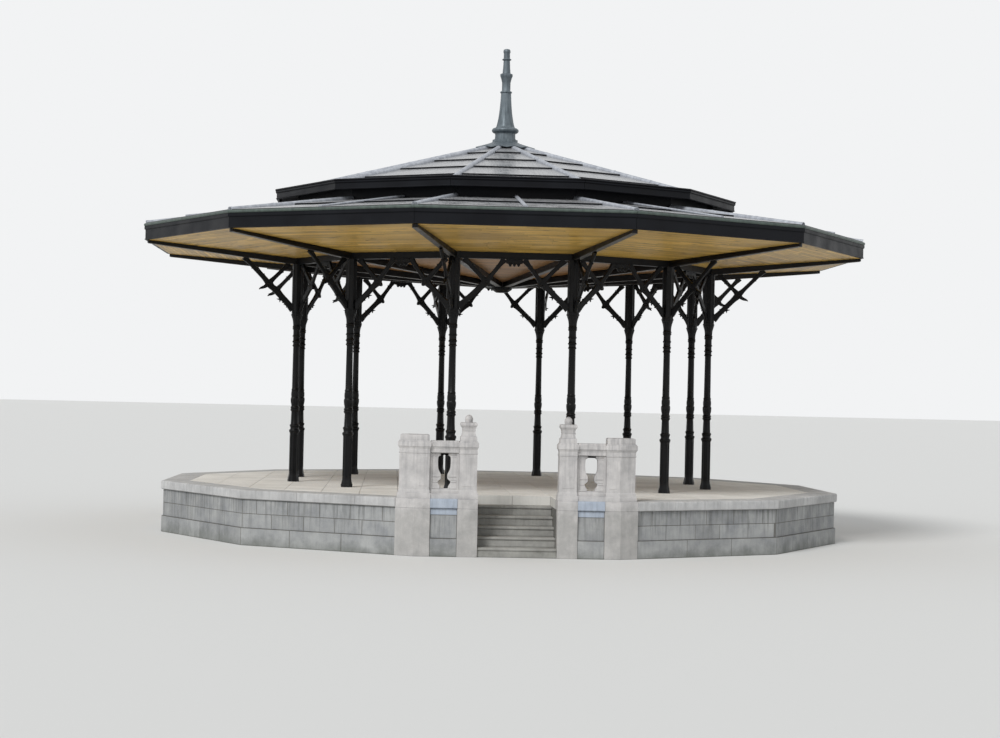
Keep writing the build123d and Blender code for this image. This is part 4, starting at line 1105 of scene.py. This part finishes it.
lowerRolls, upperRolls = newShell(), newShell()
for corner in sides:
    addRoll(lowerRolls, roofs["lower"], plan["eaveRadius"] - 0.012, plan["ringRadius"] + 0.030, corner)
    addRoll(upperRolls, roofs["upper"], (upperApothem - 0.042) / cos(halfTurn), 0.262, corner)
    # a narrow roll up the middle of each side of the lower roof
    line = [Vector((0, -apothem, undersideAt(roofs["lower"], apothem) + roll["middleRise"]))
            for apothem in (eaveApothem - 0.012, ringApothem + 0.030)]
    facing = Vector((1, 0, 0)).cross(line[1] - line[0]).normalized()
    addBar(lowerRolls, line, [roll["middleHalf"]] * 2, roll["middleThick"], 0.014, sideTurn(corner), facing)
buildPiece("lowerHipRolls", lowerRolls, "weatheredZinc", ["lower_hip_rolls"], 35)
buildPiece("upperHipRolls", upperRolls, "weatheredZinc", ["upper_hip_rolls"], 35)
print("roofs laid")

# finial of beaten zinc: heights above its base and half widths in millimetres, softly twelve-sided or round
finialRows = profile(
    ("sided", (0, 212), (20, 212), (26, 204), (120, 200), (134, 210)),
    ("round", (140, 228), (150, 246), (164, 262), (190, 270), (214, 262), (230, 244), (240, 214)),
    ("sided", (246, 196), (262, 184), (300, 172), (360, 158), (440, 143), (540, 129), (660, 117), (800, 107),
     (936, 100)),
    ("round", (940, 104), (946, 114), (958, 120), (970, 116), (978, 106), (984, 90)),
    ("sided", (996, 84), (1150, 84)),
    ("round", (1164, 88), (1190, 94), (1230, 104), (1262, 116), (1284, 124), (1300, 125), (1320, 124),
     (1328, 112), (1334, 90)),
    ("sided", (1345, 80), (1450, 70), (1596, 63)),
    ("round", (1600, 72), (1606, 86), (1614, 92), (1624, 90), (1632, 76), (1638, 64), (1730, 62), (1746, 64),
     (1758, 70), (1772, 72), (1800, 70), (1818, 58), (1826, 40), (1829, 12)))


def finialShape(radius, kind, angle):
    across = (angle + halfTurn) % (2 * halfTurn) - halfTurn
    return radius / cos(across) ** 0.8 if kind == "sided" else radius


finial = newShell()
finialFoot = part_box("finial_spire")[0].z
addTurned(finial, [(finialFoot + height, radius, kind) for height, radius, kind in finialRows],
          [tau * n / 48 for n in range(48)], finialShape)
buildPiece("beatenFinial", finial, "beatenZinc", ["finial_spire"], 30)
dressNode("finial_base", "beatenZinc", 0.008)
# an apron flares from the base over the heads of the hip rolls and dips to the sheets between them
apronRows = metres((262, 7762), (300, 7742), (360, 7720), (440, 7694), (530, 7668), (606, 7645), (610, 7641),
                   (608, 7630), (252, 7700))
apronSag = {"from": 0.300, "over": 0.310, "deep": 0.028}
apron, apronPoints = newShell(), []
for radius, height in apronRows:
    for corner in range(24):
        between = corner % 2
        reach = radius * cos(halfTurn) if between else radius
        sag = apronSag["deep"] * max(0.0, (radius - apronSag["from"]) / apronSag["over"]) if between else 0.0
        turn = radians(plan["firstCorner"]) + halfTurn * corner
        apronPoints.append((reach * cos(turn), reach * sin(turn), height - sag))
addFaces(apron, apronPoints, skinOver(len(apronRows), 24, True))
buildPiece("finialApron", apron, "beatenZinc", smooth=30)
print("finial set")

# floor, light and camera
stage = {"reach": 400, "floorDark": "#d6d6d4", "floorLight": "#dcdcda", "sky": "#f4f6f8", "skyStrength": 0.62,
         "backdrop": "#f2f3f4", "sun": 1.9, "sunAngle": 18, "sunTilt": 48, "sunBearing": -32}
corners = rectangle(-stage["reach"], stage["reach"], -stage["reach"], stage["reach"])
floorMesh = bpy.data.meshes.new("studioFloor")
floorMesh.from_pydata([(x, y, -0.001) for x, y in corners], [], [(0, 1, 2, 3)])
studioFloor = bpy.data.objects.new("studioFloor", floorMesh)
bpy.context.scene.collection.objects.link(studioFloor)
# paper, rolled out: pale, dull and all but even, so the part's shadow reads on it
add = newFinish("palePaperFloor")
fleck = add("TexNoise", {"Scale": 0.4, "Detail": 3})
paper = add("Mix", {0: fleck, 6: stage["floorDark"], 7: stage["floorLight"]})
add("OutputMaterial", {"Surface": add("BsdfPrincipled", {"Base Color": paper, "Roughness": 0.9})})
floorMesh.materials.append(finishes["palePaperFloor"])

world = bpy.data.worlds.new("studioSky")
bpy.context.scene.world = world
world.use_nodes = True
world.node_tree.nodes.clear()
add = partial(addNode, world.node_tree)
path = add("LightPath").outputs
seen = add("Math", {"operation": "MAXIMUM", 0: path["Is Camera Ray"], 1: path["Is Glossy Ray"]})
seen = add("Math", {"operation": "MAXIMUM", 0: seen, 1: path["Is Transmission Ray"]})
ambient = add("Background", {"Color": stage["sky"], "Strength": stage["skyStrength"]})
backdrop = add("Background", {"Color": stage["backdrop"], "Strength": 1.0})
add("OutputWorld", {"Surface": add("MixShader", {0: seen, 1: ambient, 2: backdrop})})

sun = bpy.data.lights.new("softSun", "SUN")
sun.energy, sun.angle = stage["sun"], radians(stage["sunAngle"])
sunObject = bpy.data.objects.new("softSun", sun)
bpy.context.scene.collection.objects.link(sunObject)
sunObject.rotation_euler = (radians(stage["sunTilt"]), 0, radians(stage["sunBearing"]))

# the camera stands 2.65 m up, 38.7 m from the axis, and leans a little, as the photograph does
view = {"place": (-2.088, -38.68, 2.65), "heading": 3.09, "pitch": 0.865, "lean": 1.265, "lens": 69.85}
cameraData = bpy.data.cameras.new("photographView")
cameraData.sensor_width, cameraData.lens, cameraData.clip_end = 36, view["lens"], 1000
camera = bpy.data.objects.new("photographView", cameraData)
bpy.context.scene.collection.objects.link(camera)
camera.matrix_world = (Matrix.Translation(view["place"])
                       @ Matrix.Rotation(radians(-view["heading"]), 4, "Z")
                       @ Matrix.Rotation(radians(90 + view["pitch"]), 4, "X")
                       @ Matrix.Rotation(radians(view["lean"]), 4, "Z"))
bpy.context.scene.camera = camera
bpy.context.scene.view_settings.view_transform = "Standard"

print("scene ready")
